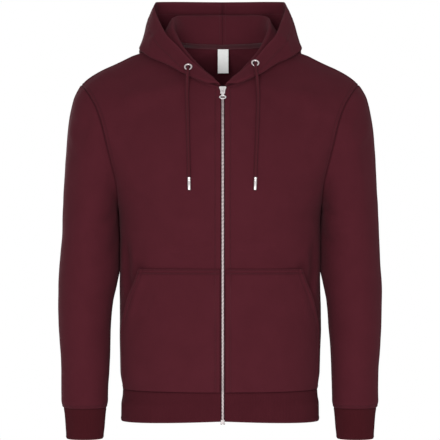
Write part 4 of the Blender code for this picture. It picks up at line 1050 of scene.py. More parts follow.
# Fullness at the outside of the upper sleeve: the height it is most at, its reach and its size
SLEEVE_FULLNESS = {"left": (-0.150, 0.150, 0.0044), "right": (-0.140, 0.110, 0.0032)}
SLEEVE_WAVES = ((0.080, 0.0022, 0), (0.028, 0.0005, 9))
# Gathers above the cuff: their height and reach, and the full roll over the seam
GATHER, GATHER_REACH, ROLL, ROLL_AT, ROLL_WIDTH = 0.0011, 0.016, 0.0007, 0.010, 0.008
# Where the sleeve leans on the body: its lowest and highest height and how it fades there,
# how far it may overlap, and how wide it is in turns round the sleeve
CONTACT_FOOT_Z, CONTACT_FADE, CONTACT_TOP_Z, CONTACT_TOP_FADE = -0.470, 0.058, -0.305, 0.006
CONTACT_GAP, CONTACT_WIDTH = -0.0005, 0.045


def sleeve_panels(torso):
    """Both sleeves as panels with their relief."""
    rings, first_normals = sleeve_rings(torso)
    normals = ring_normals(rings, first_normals)
    turns = np.arange(SLEEVE_SIDES) / SLEEVE_SIDES
    rings[-1] += unit(rings[-2] - rings[-1]) * SEAM_GAP / 2
    panels = {}
    for name, side, seed in (("left", 1, 41), ("right", -1, 52)):
        panel = closed_panel(rings, normals, side)
        gap_start, gap_end = panel.gap_to(panel.points[0]), panel.gap_to(panel.points[-1])
        panel.uneven(SLEEVE_WAVES, seed)
        panel.creases(SLEEVE_CREASES[name])
        tugs = wander((cos(2 * pi * t) * 2.6, sin(2 * pi * t) * 2.6, seed) for t in turns)
        panel.rise += GATHER * np.append(tugs, tugs[0])[None, :] * hump(gap_end / GATHER_REACH)
        panel.rise[:, -1] = panel.rise[:, 0]
        panel.calm(gap_start, 0.012)
        height, reach, fullness = SLEEVE_FULLNESS[name]
        outwards = np.clip(panel.normals[..., 0] * side, 0, 1)
        full = hump((panel.points[..., 2] - height) / reach)
        panel.rise += fullness * full * outwards * ease(gap_start / 0.03)
        panel.rise += ROLL * hump((gap_end - ROLL_AT) / ROLL_WIDTH)
        panel.calm(gap_end + 0.002, 0.005)
        # painted shade in the armhole and cuff seam grooves
        panel.seam(gap_start, stitch=0, sink=armhole_depth(panel), shade=0.5)
        panel.seam(gap_end, stitch=CUFF_ROW, sink=0.0006, shade=0.25)
        lean_on_body(panel, side)
        panel.rows = [(panel.points[-1], panel.points[-9], CUFF_ROW, (0.0, 0.0))]
        panels[name] = panel
    return panels


def lean_on_body(panel, side):
    """Swells the sleeve's inner side until it just leans on the body, down to near the elbow."""
    levels = np.linspace(0, 1.1, 300)
    table = read_table(FRONT_ROWS, levels)
    heights = panel.points[..., 2]
    body = np.interp(heights, table[::-1, 5][::-1], table[::-1, 3][::-1])
    gap = panel.points[..., 0] * side - body
    turn = panel.keys[..., 0]
    share = hump((turn - 0.5) / CONTACT_WIDTH)
    reach = np.clip((heights - CONTACT_FOOT_Z) / CONTACT_FADE, 0, 1)
    reach = reach * np.clip((CONTACT_TOP_Z - heights) / CONTACT_TOP_FADE, 0, 1)
    facing = np.clip(-panel.normals[..., 0] * side, 0, 1)
    wanted = np.clip(gap - CONTACT_GAP, 0, 0.003)
    panel.rise = panel.rise * (1 - share * reach) + wanted * share * reach * facing


CUFF_SIDES = 430
CUFF_GIRTH = 0.264  # round the cuff, 88 ribs


def cuff_panels():
    """Both rib cuffs as panels with their relief."""
    turns = np.arange(CUFF_SIDES) / CUFF_SIDES
    top, foot = CUFF_SECTIONS[0][0], CUFF_SECTIONS[-1][0]
    depths = np.concatenate([
        top + np.array((0.0, 0.0008, 0.0018, 0.0032)), np.linspace(top + 0.0055, foot - 0.0035, 15),
        foot - np.array((0.0018, 0.0007, 0.0)),
    ])
    table = read_table(CUFF_SECTIONS, depths)
    rings = np.array([ellipse_ring((depth, *row), turns) for depth, row in zip(depths, table)])
    normals = ring_normals(rings)
    rings[0] += unit(rings[1] - rings[0]) * SEAM_GAP / 2
    panels = {}
    for name, side in (("left", 1), ("right", -1)):
        panel = closed_panel(rings, normals, side)
        panel.pattern[..., 0] = np.linspace(0, CUFF_GIRTH, rings.shape[1] + 1)[None, :]
        top_gap = panel.pattern[..., 1]
        panel.rise += -0.0006 * hump(top_gap / 0.0014)
        # painted shade along the seam at the cuff's top
        panel.dark(top_gap, 0.0016, 0.25)
        round_rib(panel, top_gap[-1, 0] - top_gap)
        panels[name] = panel
    return panels


# ---------------- hood


def neckline(torso, stations):
    """The neck seam's points, normals and ways off the panels at those stations."""
    front, back = torso.front, torso.back

    def along_it(values, column=0):
        """Values along the front's neck edge and on along the back's."""
        return np.concatenate([values(front)[front.neck, column], values(back)[back.neck, column][-2::-1]])

    points = along_it(lambda half: half.grid)
    normals = along_it(lambda half: half.normals)
    near = along_it(lambda half: half.grid, 4)
    near[0] = front.grid[front.levels < FRONT_NECK_LEVEL][-1, 0]
    near[-1] = back.grid[back.levels < BACK_NECK_LEVEL][-1, 0]
    steps = NECK_STEPS_FRONT + NECK_STEPS_BACK
    front_share = (front.levels[front.neck] - FRONT_NECK_LEVEL) / (2 - FRONT_NECK_LEVEL)
    back_share = (2 - back.levels[back.neck][-2::-1]) / (2 - BACK_NECK_LEVEL)
    at = [front_share * NECK_STEPS_FRONT, NECK_STEPS_FRONT + back_share * NECK_STEPS_BACK]
    at = np.concatenate(at) / steps
    points, normals, near = (read_columns(stations, at, values) for values in (points, normals, near))
    normals = unit(normals)
    return points, normals, evened(off_edge(points, normals, near), 3)


def hood_controls(start, station):
    """The eight points that one cross-section of the hood passes through."""
    ridge, trough, rim = (read_table(table, station)[0] for table in (RIDGE, TROUGH, RIM))
    ridge_round, trough_round, share = read_table(HOOD_FOLD, station)[0]
    out = np.array([sin(pi * station), -cos(pi * station), 0.0])
    up = np.array([0.0, 0.0, 1.0])
    folded = np.array([
        start,
        ridge - (out + up) * ridge_round,
        ridge,
        ridge + (out - up) * ridge_round,
        trough + (up - out) * trough_round,
        trough,
        trough + (up + out) * trough_round,
        rim,
    ])
    straight = start + (rim - start) * np.linspace(0, 1, len(folded))[:, None]
    return straight + (folded - straight) * share


HOOD_STATIONS = 121
# The fold's first part is pressed to this share of its thickness, so that it doesn't cross itself
PRESSED_END, PRESSED = 0.10, 0.35


def hood_grid(torso):
    """Outer points of half the hood, a row for each station, and their normals."""
    stations = np.linspace(0, 1, HOOD_STATIONS)
    points, seam_normals, away = neckline(torso, stations)
    starts = points + away * SEAM_GAP
    grid = np.array([
        curve_through(hood_controls(start, station), HOOD_SAMPLES)
        for start, station in zip(starts, stations)
    ])
    grid[-1, :, 0] = 0.0
    normals = grid_normals(grid, flip=True)
    if np.sum(normals[:, 0] * seam_normals) < 0:
        normals = -normals
    normals[:, 0] = seam_normals
    normals[-1, :, 0] = 0.0
    return grid, unit(normals)


# Station and share of the way from the neck seam to the rim
HOOD_CREASES = {
    "left": (
        (((0.62, 0.62), (0.68, 0.74), (0.74, 0.90)), 0.008, -0.0024, 0.2, 0.2),
        (((0.44, 0.70), (0.50, 0.80), (0.54, 0.95)), 0.009, 0.0016, 0.1, 0.2),
        (((0.30, 0.60), (0.38, 0.66), (0.46, 0.68)), 0.007, -0.0010, 0.3, 0.0),
        (((0.78, 0.55), (0.86, 0.60), (0.94, 0.58)), 0.012, -0.0020, 0.0, 0.2),
    ),
    "right": (
        (((0.60, 0.62), (0.66, 0.74), (0.73, 0.90)), 0.008, -0.0022, 0.2, 0.2),
        (((0.46, 0.70), (0.52, 0.80), (0.57, 0.95)), 0.009, 0.0015, 0.1, 0.2),
        (((0.28, 0.60), (0.36, 0.66), (0.44, 0.68)), 0.007, -0.0010, 0.3, 0.0),
        (((0.76, 0.56), (0.84, 0.61), (0.93, 0.60)), 0.012, -0.0018, 0.0, 0.2),
    ),
}


# The sides of the hood stand full along this line: half width, height, and nothing at its ends
HOOD_FULLNESS = (((0.56, 0.86), (0.68, 0.89), (0.80, 0.915)), 0.034, 0.0056, 0.0, 0.0, 0.0)
# The hood's upper edge sits a little to the wearer's right
HOOD_SWAY, SWAY_Z, SWAY_RISE, SWAY_X, SWAY_IN = 0.0016, 0.01, 0.05, 0.05, 0.06
HOOD_WAVES = ((0.060, 0.0016, 0), (0.024, 0.0004, 5))


def hood_panels(grid, normals):
    """Both halves of the hood as panels with their relief."""
    shares = run_of(grid.transpose(1, 0, 2)).T
    rim_gap = shares[:, -1:] - shares
    shares = shares / shares[:, -1:]
    stations = np.broadcast_to(np.linspace(0, 1, len(grid))[:, None], shares.shape)
    panels = {}
    for name, side, seed in (("left", 1, 63), ("right", -1, 74)):
        points = place(grid, side)
        sway = ease((points[..., 2] - SWAY_Z) / SWAY_RISE) * ease((np.abs(points[..., 0]) - SWAY_X) / SWAY_IN)
        points[..., 0] -= HOOD_SWAY * sway
        panel = Panel(points, mirrored(normals, side), np.stack([stations, shares], axis=2))
        panel.pattern = np.stack([run_of(panel.points), panel.pattern[..., 0]], axis=2)
        neck_gap, seam_gap = panel.gap_to(panel.points[::2, 0]), panel.gap_to(panel.points[-1, ::2])
        panel.uneven(HOOD_WAVES, seed)
        panel.creases((*HOOD_CREASES[name], HOOD_FULLNESS))
        for gap, reach in ((neck_gap, 0.012), (seam_gap, 0.010), (rim_gap + 0.004, 0.012)):
            panel.calm(gap, reach)
        panel.seam(neck_gap, stitch=0, sink=0.0008)
        panel.rise += -0.0003 * hump(seam_gap / 0.0011)
        # painted shade along the hood's middle seam
        panel.dark(seam_gap, 0.0008, 0.12)
        panel.row(rim_gap - HOOD_CASING_ROW)
        # rim lighter: wear and painted highlight
        panel.wear = hump(rim_gap / 0.003)
        panel.rim_gap = rim_gap
        panel.full = PRESSED + (1 - PRESSED) * ease(stations / PRESSED_END)
        panel.rows = [(panel.points[-1], panel.points[-6], HOOD_SEAM_ROW, (0.006, 0.002))]
        panels[name] = panel
    return panels


# ---------------- pockets


def front_surface(levels, across, lift):
    """Points off the front panel's smooth surface at those levels and shares across."""
    nudge = 1e-4
    low, high = np.clip(across - nudge, 0, 1), np.clip(across + nudge, 0, 1)
    along = torso_grid(FRONT_ROWS, levels, high) - torso_grid(FRONT_ROWS, levels, low)
    up = torso_grid(FRONT_ROWS, levels + nudge, across) - torso_grid(FRONT_ROWS, levels - nudge, across)
    normals = unit(np.cross(along, up))
    return torso_grid(FRONT_ROWS, levels, across) + normals * lift[..., None], normals


def level_at(height):
    """The level at which the middle of the front has that height."""
    levels = np.linspace(-1, FRONT_NECK_LEVEL, 400)
    return np.interp(height, read_table(FRONT_ROWS, levels)[:, 2], levels)


POCKET_CREASES = {
    "left": (
        (((0.030, -0.545), (0.036, -0.575), (0.028, -0.600)), 0.012, 0.0008, 0.0, 0.0),
        (((0.150, -0.440), (0.158, -0.480), (0.168, -0.515)), 0.009, 0.0014, 0.2, 0.2),
        (((0.120, -0.430), (0.128, -0.470), (0.138, -0.520)), 0.010, -0.0008, 0.2, 0.0),
    ),
    "right": (
        (((-0.148, -0.425), (-0.160, -0.470), (-0.172, -0.515)), 0.008, 0.0022, 0.5, 0.2),
        (((-0.122, -0.425), (-0.136, -0.470), (-0.150, -0.520)), 0.009, -0.0012, 0.3, 0.0),
        (((-0.040, -0.480), (-0.065, -0.500), (-0.060, -0.530)), 0.012, 0.0007, 0.0, 0.0),
    ),
}


# Rows and columns of a pocket: shares of its height and width, fine where it is folded and sewn
POCKET_FOOT_STEPS = (0.0, 0.002, 0.005, 0.009, 0.016)
POCKET_TOP_STEPS = (0.041, 0.033, 0.027, 0.021, 0.014, 0.009, 0.005, 0.002, 0.0)
POCKET_IN_STEPS = (0.0, 0.004, 0.010, 0.020)
POCKET_OUT_STEPS = (0.957, 0.968, 0.978, 0.986, 0.992, 0.997, 1.0)
POCKET_WAVES = ((0.070, 0.0012, 0), (0.026, 0.0004, 3))


def pocket_grid():
    """Outer points and normals of the left pocket, which follows the front below it."""
    bottom, top = level_at((POCKET_BOTTOM, POCKET_TOP))
    span = top - bottom
    levels = np.concatenate([
        bottom + span * np.array(POCKET_FOOT_STEPS), bottom + span * np.linspace(0.026, 0.945, 66),
        top - span * np.array(POCKET_TOP_STEPS),
    ])
    table = read_table(FRONT_ROWS, levels)
    heights = table[:, 2]
    edge = read_table(POCKET_EDGE, heights)[:, 0]
    ends = np.stack([np.full(len(heights), POCKET_INNER_X), edge], axis=1)
    share = (ends - table[:, :1]) / (table[:, 3:4] - table[:, :1])
    ends = np.arcsin(share ** (1 / SQUARENESS)) / (pi / 2)
    steps = np.concatenate([POCKET_IN_STEPS, np.linspace(0.035, 0.945, 52), POCKET_OUT_STEPS])
    across = ends[:, :1] + (ends[:, 1:] - ends[:, :1]) * steps
    mouth_foot = POCKET_EDGE[2][0]
    open_part = np.clip((heights - mouth_foot) / (POCKET_TOP - mouth_foot), 0, 1)
    puff = np.sin(pi * open_part)[:, None] * steps**3 * POCKET_PUFF
    return front_surface(levels, across, POCKET_LIFT + puff + CLOTH)


def pocket_panels():
    """Both pockets as panels with their relief."""
    outer, normals = pocket_grid()
    panels = {}
    for name, side, seed in (("left", 1, 85), ("right", -1, 96)):
        panel = Panel(place(outer, side), mirrored(normals, side))
        inner_gap, foot_gap = panel.pattern[..., 0], panel.pattern[..., 1]
        top_gap, side_gap = foot_gap[-1:] - foot_gap, panel.gap_to(panel.points[:, -1])
        panel.uneven(POCKET_WAVES, seed)
        panel.creases(POCKET_CREASES[name])
        calm = ((top_gap, 0.012), (inner_gap, 0.012), (foot_gap, 0.010), (side_gap + 0.003, 0.012))
        for gap, reach in calm:
            panel.calm(gap, reach)
        panel.rise = np.maximum(panel.rise, -0.0012)
        for gap, rows in ((top_gap, POCKET_TOP_ROWS), (side_gap, POCKET_SIDE_ROWS)):
            for stitch in rows:
                panel.row(gap - stitch, 0.0007)
        panel.row(inner_gap - POCKET_ZIP_ROW)
        panel.rise += 0.0008 * hump((top_gap - 0.0052) / 0.0024) + 0.0012 * hump((side_gap - 0.0060) / 0.0034)
        panel.rise += -0.0006 * hump(top_gap / 0.0008) - 0.0006 * hump(side_gap / 0.0008)
        # painted shade along the pocket's top edge, under its stitch rows and beside its side edge
        panel.dark(top_gap, 0.0012, 0.5)
        panel.dark(top_gap - POCKET_TOP_ROWS[-1], 0.0024, 0.45)
        panel.dark(side_gap - POCKET_SIDE_ROWS[-1], 0.0020, 0.25)
        # pocket's side edge lighter: wear and painted highlight
        panel.wear = hump((side_gap - 0.001) / 0.0016)
        points = panel.points
        panel.rows = [(points[-1], points[-8], gap, (0.001, gap)) for gap in POCKET_TOP_ROWS]
        panel.rows += [(points[:, -1], points[:, -6], gap, (0.001, gap)) for gap in POCKET_SIDE_ROWS]
        panel.rows += [(points[:, 0], points[:, 5], POCKET_ZIP_ROW, (0.001, 0.001))]
        panels[name] = panel
    return panels


# ---------------- node trees


class Term:
    """A node's socket that can be written in sums and products."""

    def __init__(self, sheet, socket):
        self.sheet, self.socket = sheet, socket

    def maths(self, operation, *values):
        return self.sheet.node("ShaderNodeMath", {"operation": operation}, dict(enumerate(values)))[0]

    def __add__(self, other):
        return self.maths("ADD", self, other)

    def __sub__(self, other):
        return self.maths("SUBTRACT", self, other)

    def __rsub__(self, other):
        return self.maths("SUBTRACT", other, self)

    def __mul__(self, other):
        return self.maths("MULTIPLY", self, other)

    def __rtruediv__(self, other):
        return self.maths("DIVIDE", other, self)

    def __abs__(self):
        return self.maths("ABSOLUTE", self)

    __radd__ = __add__
    __rmul__ = __mul__

    def sine(self):
        return self.maths("SINE", self)


class Made:
    """A node that was made; its outputs are read by name or number."""

    def __init__(self, sheet, node):
        self.sheet, self.made = sheet, node

    def __getitem__(self, key):
        return Term(self.sheet, self.made.outputs[key])


class Sheet:
    """A node tree that takes new nodes."""

    def __init__(self, tree):
        self.tree = tree

    def node(self, kind, settings=None, sockets=None):
        """A node of that type: its settings first, then the values or links of its sockets."""
        made = self.tree.nodes.new(kind)
        for key, value in (settings or {}).items():
            setattr(made, key, value)
        for key, value in (sockets or {}).items():
            if isinstance(value, Term):
                self.tree.links.new(value.socket, made.inputs[key])
            else:
                made.inputs[key].default_value = value
        return Made(self, made)

    def blend(self, share, first, second):
        """A colour between two, by a share from 0 to 1."""
        settings = {"data_type": "RGBA", "clamp_factor": True}
        return self.node("ShaderNodeMix", settings, {0: share, 6: first, 7: second})[2]

    def noise(self, where, scale, detail=2.0, rough=0.5):
        sockets = {"Vector": where, "Scale": scale, "Detail": detail, "Roughness": rough}
        return self.node("ShaderNodeTexNoise", None, sockets)[0]


class Finish(Sheet):
    """A procedural material round one principled shader."""

    def __init__(self, name, **fixed):
        self.material = bpy.data.materials.new(name)
        self.material.use_nodes = True
        super().__init__(self.material.node_tree)
        self.shader = self.tree.nodes["Principled BSDF"]
        for key, value in fixed.items():
            self.shader.inputs[key.replace("_", " ").title().replace("Ior", "IOR")].default_value = value

    def ready(self, share, dark, light, rough, normal=None):
        """Links the colour, which lies between two by a share, the roughness and the bump."""
        colour = share if dark is None else self.blend(share, rgb(*dark), rgb(*light))
        for socket, term in (("Base Color", colour), ("Roughness", rough), ("Normal", normal)):
            if term is not None:
                self.tree.links.new(term.socket, self.shader.inputs[socket])
        return self.material

    def place(self):
        return self.node("ShaderNodeTexCoord")["Object"]

    def pattern(self):
        """The piece's own lengths across and along the cloth, in metres."""
        uv = self.node("ShaderNodeUVMap", {"uv_map": "pattern"})["UV"]
        split = self.node("ShaderNodeSeparateXYZ", None, {0: uv})
        return split[0], split[1]

    def value(self, name):
        return self.node("ShaderNodeAttribute", {"attribute_name": name})["Fac"]

    def bump(self, height, distance, strength=1.0, under=None):
        sockets = {"Strength": strength, "Distance": distance, "Height": height}
        if under is not None:
            sockets["Normal"] = under
        return self.node("ShaderNodeBump", None, sockets)[0]


def rgb(red, green, blue):
    return (red, green, blue, 1.0)


def waves(run, pitch):
    """Even waves from -1 to 1 along a run, one to each pitch."""
    return (run * (2 * pi / pitch)).sine()


def knit_height(finish, wale, course):
    """Small columns of stitches, each course leaning the other way."""
    across, along = finish.pattern()
    column = abs((across * (pi / wale)).sine())
    lean = (along * (2 * pi / course) + column * 1.6).sine()
    return column * 0.7 + lean * 0.3


# Each knit: wale and course, their depth, the depth of the nap, how much its edges are lightened by wear and
# painted highlight, and its sheen
FLEECE_KNIT = (0.0013, 0.0011, 0.00022, 0.00035, 0.22, 0.08)
RIB_KNIT = (0.0010, 0.0010, 0.00018, 0.00025, 0.20, 0.06)
# Each cloth: dark and light colour, and its knit
CLOTHS = {
    "fleece": ((0.058, 0.0094, 0.0148), (0.086, 0.0148, 0.0228), *FLEECE_KNIT),
    "rib": ((0.047, 0.0073, 0.0114), (0.070, 0.0114, 0.0175), *RIB_KNIT),
    # a darker copy of the hem's rib: painted shade on the cuffs
    "cuff_rib_shaded": ((0.041, 0.0060, 0.0086), (0.060, 0.0092, 0.0130), *RIB_KNIT),
}
# Each metal: dull and bright colour, roughness
METALS = {
    "metal": ((0.70, 0.665, 0.66), (0.86, 0.825, 0.82), 0.22),
    # the eyelets' pinkish tint is a painted reflection of the maroon cloth round them
    "eyelet_metal_painted_pink": ((0.57, 0.50, 0.51), (0.73, 0.65, 0.66), 0.24),
    "teeth_metal": ((0.50, 0.435, 0.438), (0.68, 0.600, 0.603), 0.50),
    "box_metal": ((0.26, 0.235, 0.235), (0.38, 0.345, 0.345), 0.40),
}
# Each thread: dark and light colour, gloss and sheen
THREADS = {
    "thread": ((0.058, 0.0090, 0.0145), (0.092, 0.0150, 0.0235), 0.12, 0.1),
    "white_thread": ((0.70, 0.70, 0.69), (0.86, 0.86, 0.85), 0.3, 0.0),
}
SHEEN_TINT, SHEEN_ROUGHNESS = (0.62, 0.30, 0.34), 0.45


def cloth_finish(name, dark, light, wale, course, depth, nap, edge_lightening, sheen):
    """Brushed or ribbed knit: flecks, cloudy patches, edges lightened by wear and painted highlight, and
    painted shade in seams and folds.
    """
    finish = Finish(
        name, sheen_weight=sheen, sheen_roughness=SHEEN_ROUGHNESS, sheen_tint=rgb(*SHEEN_TINT),
        specular_ior_level=0.05)
    place = finish.place()
    flecks = finish.noise(place, 620.0, 3.0, 0.65)
    patches = finish.noise(place, 26.0, 3.0, 0.55)
    fibres = finish.noise(place, 2600.0, 2.0, 0.7)
    colour = finish.blend(flecks * 0.62 + patches * 0.55 - 0.10, rgb(*dark), rgb(*light))
    # edges lighter: wear and painted highlight
    wear = finish.value("wear") * (flecks * 0.9 + 0.1) * edge_lightening
    colour = finish.blend(wear, colour, rgb(*(min(c * 1.9 + 0.012, 1) for c in light)))
    # painted shade: towards a third of the dark tone in grooves and folds
    colour = finish.blend(finish.value("shade") * 0.8, colour, rgb(*(c * 0.35 for c in dark)))
    knit = finish.bump(knit_height(finish, wale, course), depth, 0.8)
    normal = finish.bump(fibres * 0.6 + flecks * 0.4, nap, 0.7, knit)
    return finish.ready(colour, None, None, 0.98 - flecks * 0.12, normal)


def metal_finish(name, dull, bright, rough):
    """Cloudy metal with fine scratches."""
    finish = Finish(name, metallic=1.0, specular_ior_level=0.5)
    place = finish.place()
    cloud = finish.noise(place, 90.0, 3.0)
    scratches = finish.noise(place, 2400.0, 2.0, 0.7)
    rough = rough + cloud * 0.12 + scratches * 0.10
    return finish.ready(cloud, dull, bright, rough, finish.bump(scratches, 0.00002, 0.5))


def thread_finish(name, dark, light, gloss, sheen):
    """Twisted sewing thread."""
    finish = Finish(name, specular_ior_level=gloss, sheen_weight=sheen)
    ply = finish.noise(finish.place(), 1500.0, 2.0)
    normal = finish.bump(ply, 0.00008) if sheen else None
    return finish.ready(ply, dark, light, 0.75 - ply * 0.15, normal)


def tape_finish():
    """The twill tape at the neck, with a painted highlight making one edge paler."""
    finish = Finish("tape", sheen_weight=0.15, specular_ior_level=0.25)
    across, along = finish.pattern()
    twill = waves(across + along, 0.0012)
    flecks = finish.noise(finish.place(), 900.0)
    # painted highlight towards one edge of the tape
    light = flecks * 0.3 + twill * 0.10 + finish.value("wear") * 0.7
    normal = finish.bump(twill, 0.00018, 0.9)
    return finish.ready(light, (0.042, 0.0064, 0.0102), (0.130, 0.0260, 0.0390), 0.86 - twill * 0.06, normal)


def zip_cloth_finish():
    """The close plain weave of the zip's tapes."""
    finish = Finish("zip_cloth", specular_ior_level=0.2)
    across, along = finish.pattern()
    weave = waves(across, 0.0009) * waves(along, 0.0009)
    normal = finish.bump(weave, 0.00015)
    share = weave * 0.3 + 0.5
    return finish.ready(share, (0.040, 0.007, 0.012), (0.064, 0.011, 0.018), 0.90 - weave * 0.05, normal)


def cord_finish():
    """Braided cotton, with painted shade making it dark between the strands and pale on them."""
    finish = Finish("cord", sheen_weight=0.05, specular_ior_level=0.06)
    fibre = finish.noise(finish.place(), 1800.0, 3.0, 0.6)
    # painted shade: darker where the braid's strands sink
    share = fibre * 0.5 + finish.value("strand") * 0.5
    normal = finish.bump(fibre, 0.00020, 0.8)
    return finish.ready(share, (0.038, 0.0055, 0.0090), (0.078, 0.0125, 0.0190), 0.90 - fibre * 0.12, normal)


def label_finish():
    """Bare white woven label."""
    finish = Finish("label", specular_ior_level=0.35, sheen_weight=0.05)
    across, along = finish.pattern()
    weave = waves(across, 0.00055) * 0.5 + waves(along, 0.0008) * 0.5
    dust = finish.noise(finish.place(), 140.0, 3.0)
    share = dust * 0.6 + weave * 0.1
    normal = finish.bump(weave, 0.00008, 0.7)
    return finish.ready(share, (0.97, 0.97, 0.96), (0.90, 0.90, 0.89), 0.72 - weave * 0.08, normal)


def hole_shadow_finish():
    """A painted shadow: the dark inside an eyelet's hole, a little mottled."""
    finish = Finish("eyelet_hole_painted_shadow", specular_ior_level=0.05)
    shadow_mottle = finish.noise(finish.place(), 900.0)
    return finish.ready(shadow_mottle, (0.006, 0.002, 0.003), (0.014, 0.004, 0.006), 1.0 - shadow_mottle * 0.05)


def floor_finish():
    """Plain pale floor."""
    finish = Finish("floor", specular_ior_level=0.1)
    grain = finish.noise(finish.place(), 3.0, 4.0)
    return finish.ready(grain, (0.86, 0.86, 0.86), (0.90, 0.90, 0.90), 0.85 + grain * 0.08)


def make_finishes():
    """All the materials, by name."""
    made = {name: cloth_finish(name, *look) for name, look in CLOTHS.items()}
    made |= {name: metal_finish(name, *look) for name, look in METALS.items()}
    made |= {name: thread_finish(name, *look) for name, look in THREADS.items()}
    made["tape"], made["zip_cloth"], made["cord"] = tape_finish(), zip_cloth_finish(), cord_finish()
    made["label"], made["eyelet_hole_painted_shadow"], made["floor"] = label_finish(), hole_shadow_finish(), floor_finish()
    return made


class Repeat(Sheet):
    """A geometry node tree with named inputs for its sizes, run once on a piece."""

    def __init__(self, name, sizes):
        self.group = bpy.data.node_groups.new(name, "GeometryNodeTree")
        super().__init__(self.group)
        face = self.group.interface
        face.new_socket("Geometry", in_out="INPUT", socket_type="NodeSocketGeometry")
        face.new_socket("Geometry", in_out="OUTPUT", socket_type="NodeSocketGeometry")
        self.keys = {}
        for key, value in sizes.items():
            kind = "NodeSocketInt" if isinstance(value, int) else "NodeSocketFloat"
            if value is None:
                kind = "NodeSocketMaterial"
            made = face.new_socket(key, in_out="INPUT", socket_type=kind)
            self.keys[key] = made.identifier
            if value is not None:
                made.default_value = value
        self.start = self.node("NodeGroupInput")

    def end(self, geometry, smooth=True):
        """Realizes the instances, sets the material and leads to the output."""
        real = self.node("GeometryNodeRealizeInstances", None, {"Geometry": geometry})[0]
        shaded = self.node("GeometryNodeSetShadeSmooth", None, {"Geometry": real, "Shade Smooth": smooth})[0]
        sockets = {"Geometry": shaded, "Material": self.start["finish"]}
        done = self.node("GeometryNodeSetMaterial", None, sockets)[0]
        self.node("NodeGroupOutput", None, {0: done})

    def value(self, name, kind="FLOAT"):
        """A value that the source mesh holds by point."""
        return self.node("GeometryNodeInputNamedAttribute", {"data_type": kind}, {"Name": name})[0]

    def along_line(self, one, spacing, second_axis, size, smooth=True):
        """Ends in one shape at every spacing along the mesh's lines, its Z out of the cloth."""
        out = self.value("out", "FLOAT_VECTOR")
        line = self.node("GeometryNodeMeshToCurve", None, {"Mesh": self.start["Geometry"]})[0]
        sockets = {"Curve": line, "Length": self.start[spacing]}
        line = self.node("GeometryNodeResampleCurve", {"mode": "LENGTH"}, sockets)[0]
        along = self.node("GeometryNodeInputTangent")[0]
        axes = {"primary_axis": "Z", "secondary_axis": second_axis}
        turn = self.node("FunctionNodeAxesToRotation", axes, {0: out, 1: along})[0]
        scale = self.node("ShaderNodeCombineXYZ", None, dict(enumerate(size)))[0]
        sockets = {"Points": line, "Instance": one, "Rotation": turn, "Scale": scale}
        self.end(self.node("GeometryNodeInstanceOnPoints", None, sockets)[0], smooth)

    def run(self, name, mesh, finish, slot, **sizes):
        """A plain mesh piece made by the tree from that mesh."""
        source = bpy.data.objects.new(name + "_source", mesh)
        bpy.context.scene.collection.objects.link(source)
        step = source.modifiers.new("repeat", "NODES")
        step.node_group = self.group
        step[self.keys["finish"]] = finish
        for key, value in sizes.items():
            step[self.keys[key]] = value
        view = bpy.context.evaluated_depsgraph_get()
        view.update()
        result = bpy.data.meshes.new_from_object(source.evaluated_get(view))
        result.name = name
        bpy.data.objects.remove(source)
        return new_piece(name, result, finish)


# A tooth's crown as a share of its foot, and how far a square's corner is from its middle
TOOTH_CROWN, CORNER = 0.72, 0.5**0.5
TOOTH_SIZES = {"pitch": TOOTH_PITCH, "width": 0.0031, "height": 0.0014, "depth": 0.0024, "finish": None}
STITCH_SIZES = {"spacing": 0.0032, "length": 0.0025, "thread": 0.0007, "seed": 5, "finish": None}


def stitch_tree():
    """Stitches of slightly different lengths along sewn lines."""
    tree = Repeat("stitch_row", STITCH_SIZES)
    start = tree.start
    sockets = {2: 0.85, 3: 1.12, "Seed": start["seed"]}
    drift = tree.node("FunctionNodeRandomValue", {"data_type": "FLOAT"}, sockets)[1]
    bead = tree.node("GeometryNodeMeshUVSphere", None, {"Segments": 6, "Rings": 4, "Radius": 0.5})[0]
    size = (start["length"] * drift, start["thread"], start["thread"])
    tree.along_line(bead, "spacing", "X", size)
    return tree


def tooth_tree():
    """Blunt metal teeth along the two edges of the zip."""
    tree = Repeat("tooth_row", TOOTH_SIZES)
    start = tree.start
    sizes = {"Vertices": 4, "Radius Top": CORNER * TOOTH_CROWN, "Radius Bottom": CORNER, "Depth": 1.0}
    stud = tree.node("GeometryNodeMeshCone", None, sizes)[0]
    stud = tree.node("GeometryNodeTransform", None, {"Geometry": stud, "Rotation": (0.0, 0.0, pi / 4)})[0]
    tree.along_line(stud, "pitch", "Y", (start["width"], start["height"], start["depth"]), smooth=False)
    return tree


def rib_tree():
    """Knitted ribs sunk into the outside of a band."""
    tree = Repeat("knit_rib", {"pitch": 0.0030, "height": 0.0006, "finish": None})
    start = tree.start
    wave = abs((tree.value("across") * (pi / start["pitch"])).sine())
    height = (wave - 1.0) * start["height"] * tree.value("outside")
    sockets = {0: tree.value("out", "FLOAT_VECTOR"), "Scale": height}
    move = tree.node("ShaderNodeVectorMath", {"operation": "SCALE"}, sockets)[0]
    sockets = {"Geometry": start["Geometry"], "Offset": move}
    tree.end(tree.node("GeometryNodeSetPosition", None, sockets)[0])
    return tree


# ---------------- stitch lines


STITCH_LIFT = 0.00012  # how far the thread's middle stands off the cloth


def on_cloth(panel, points):
    """Those points moved on to the panel's outer face, and the ways out of it there."""
    outer = panel.outer().reshape(-1, 3)
    normals = panel.normals.reshape(-1, 3)
    found, ways = [], []
    for point in points:
        k = np.sum((outer - point) ** 2, axis=1).argmin()
        way = normals[k]
        found.append(point + way * (np.dot(outer[k] - point, way) + STITCH_LIFT))
        ways.append(way)
    return np.array(found), unit(np.array(ways))


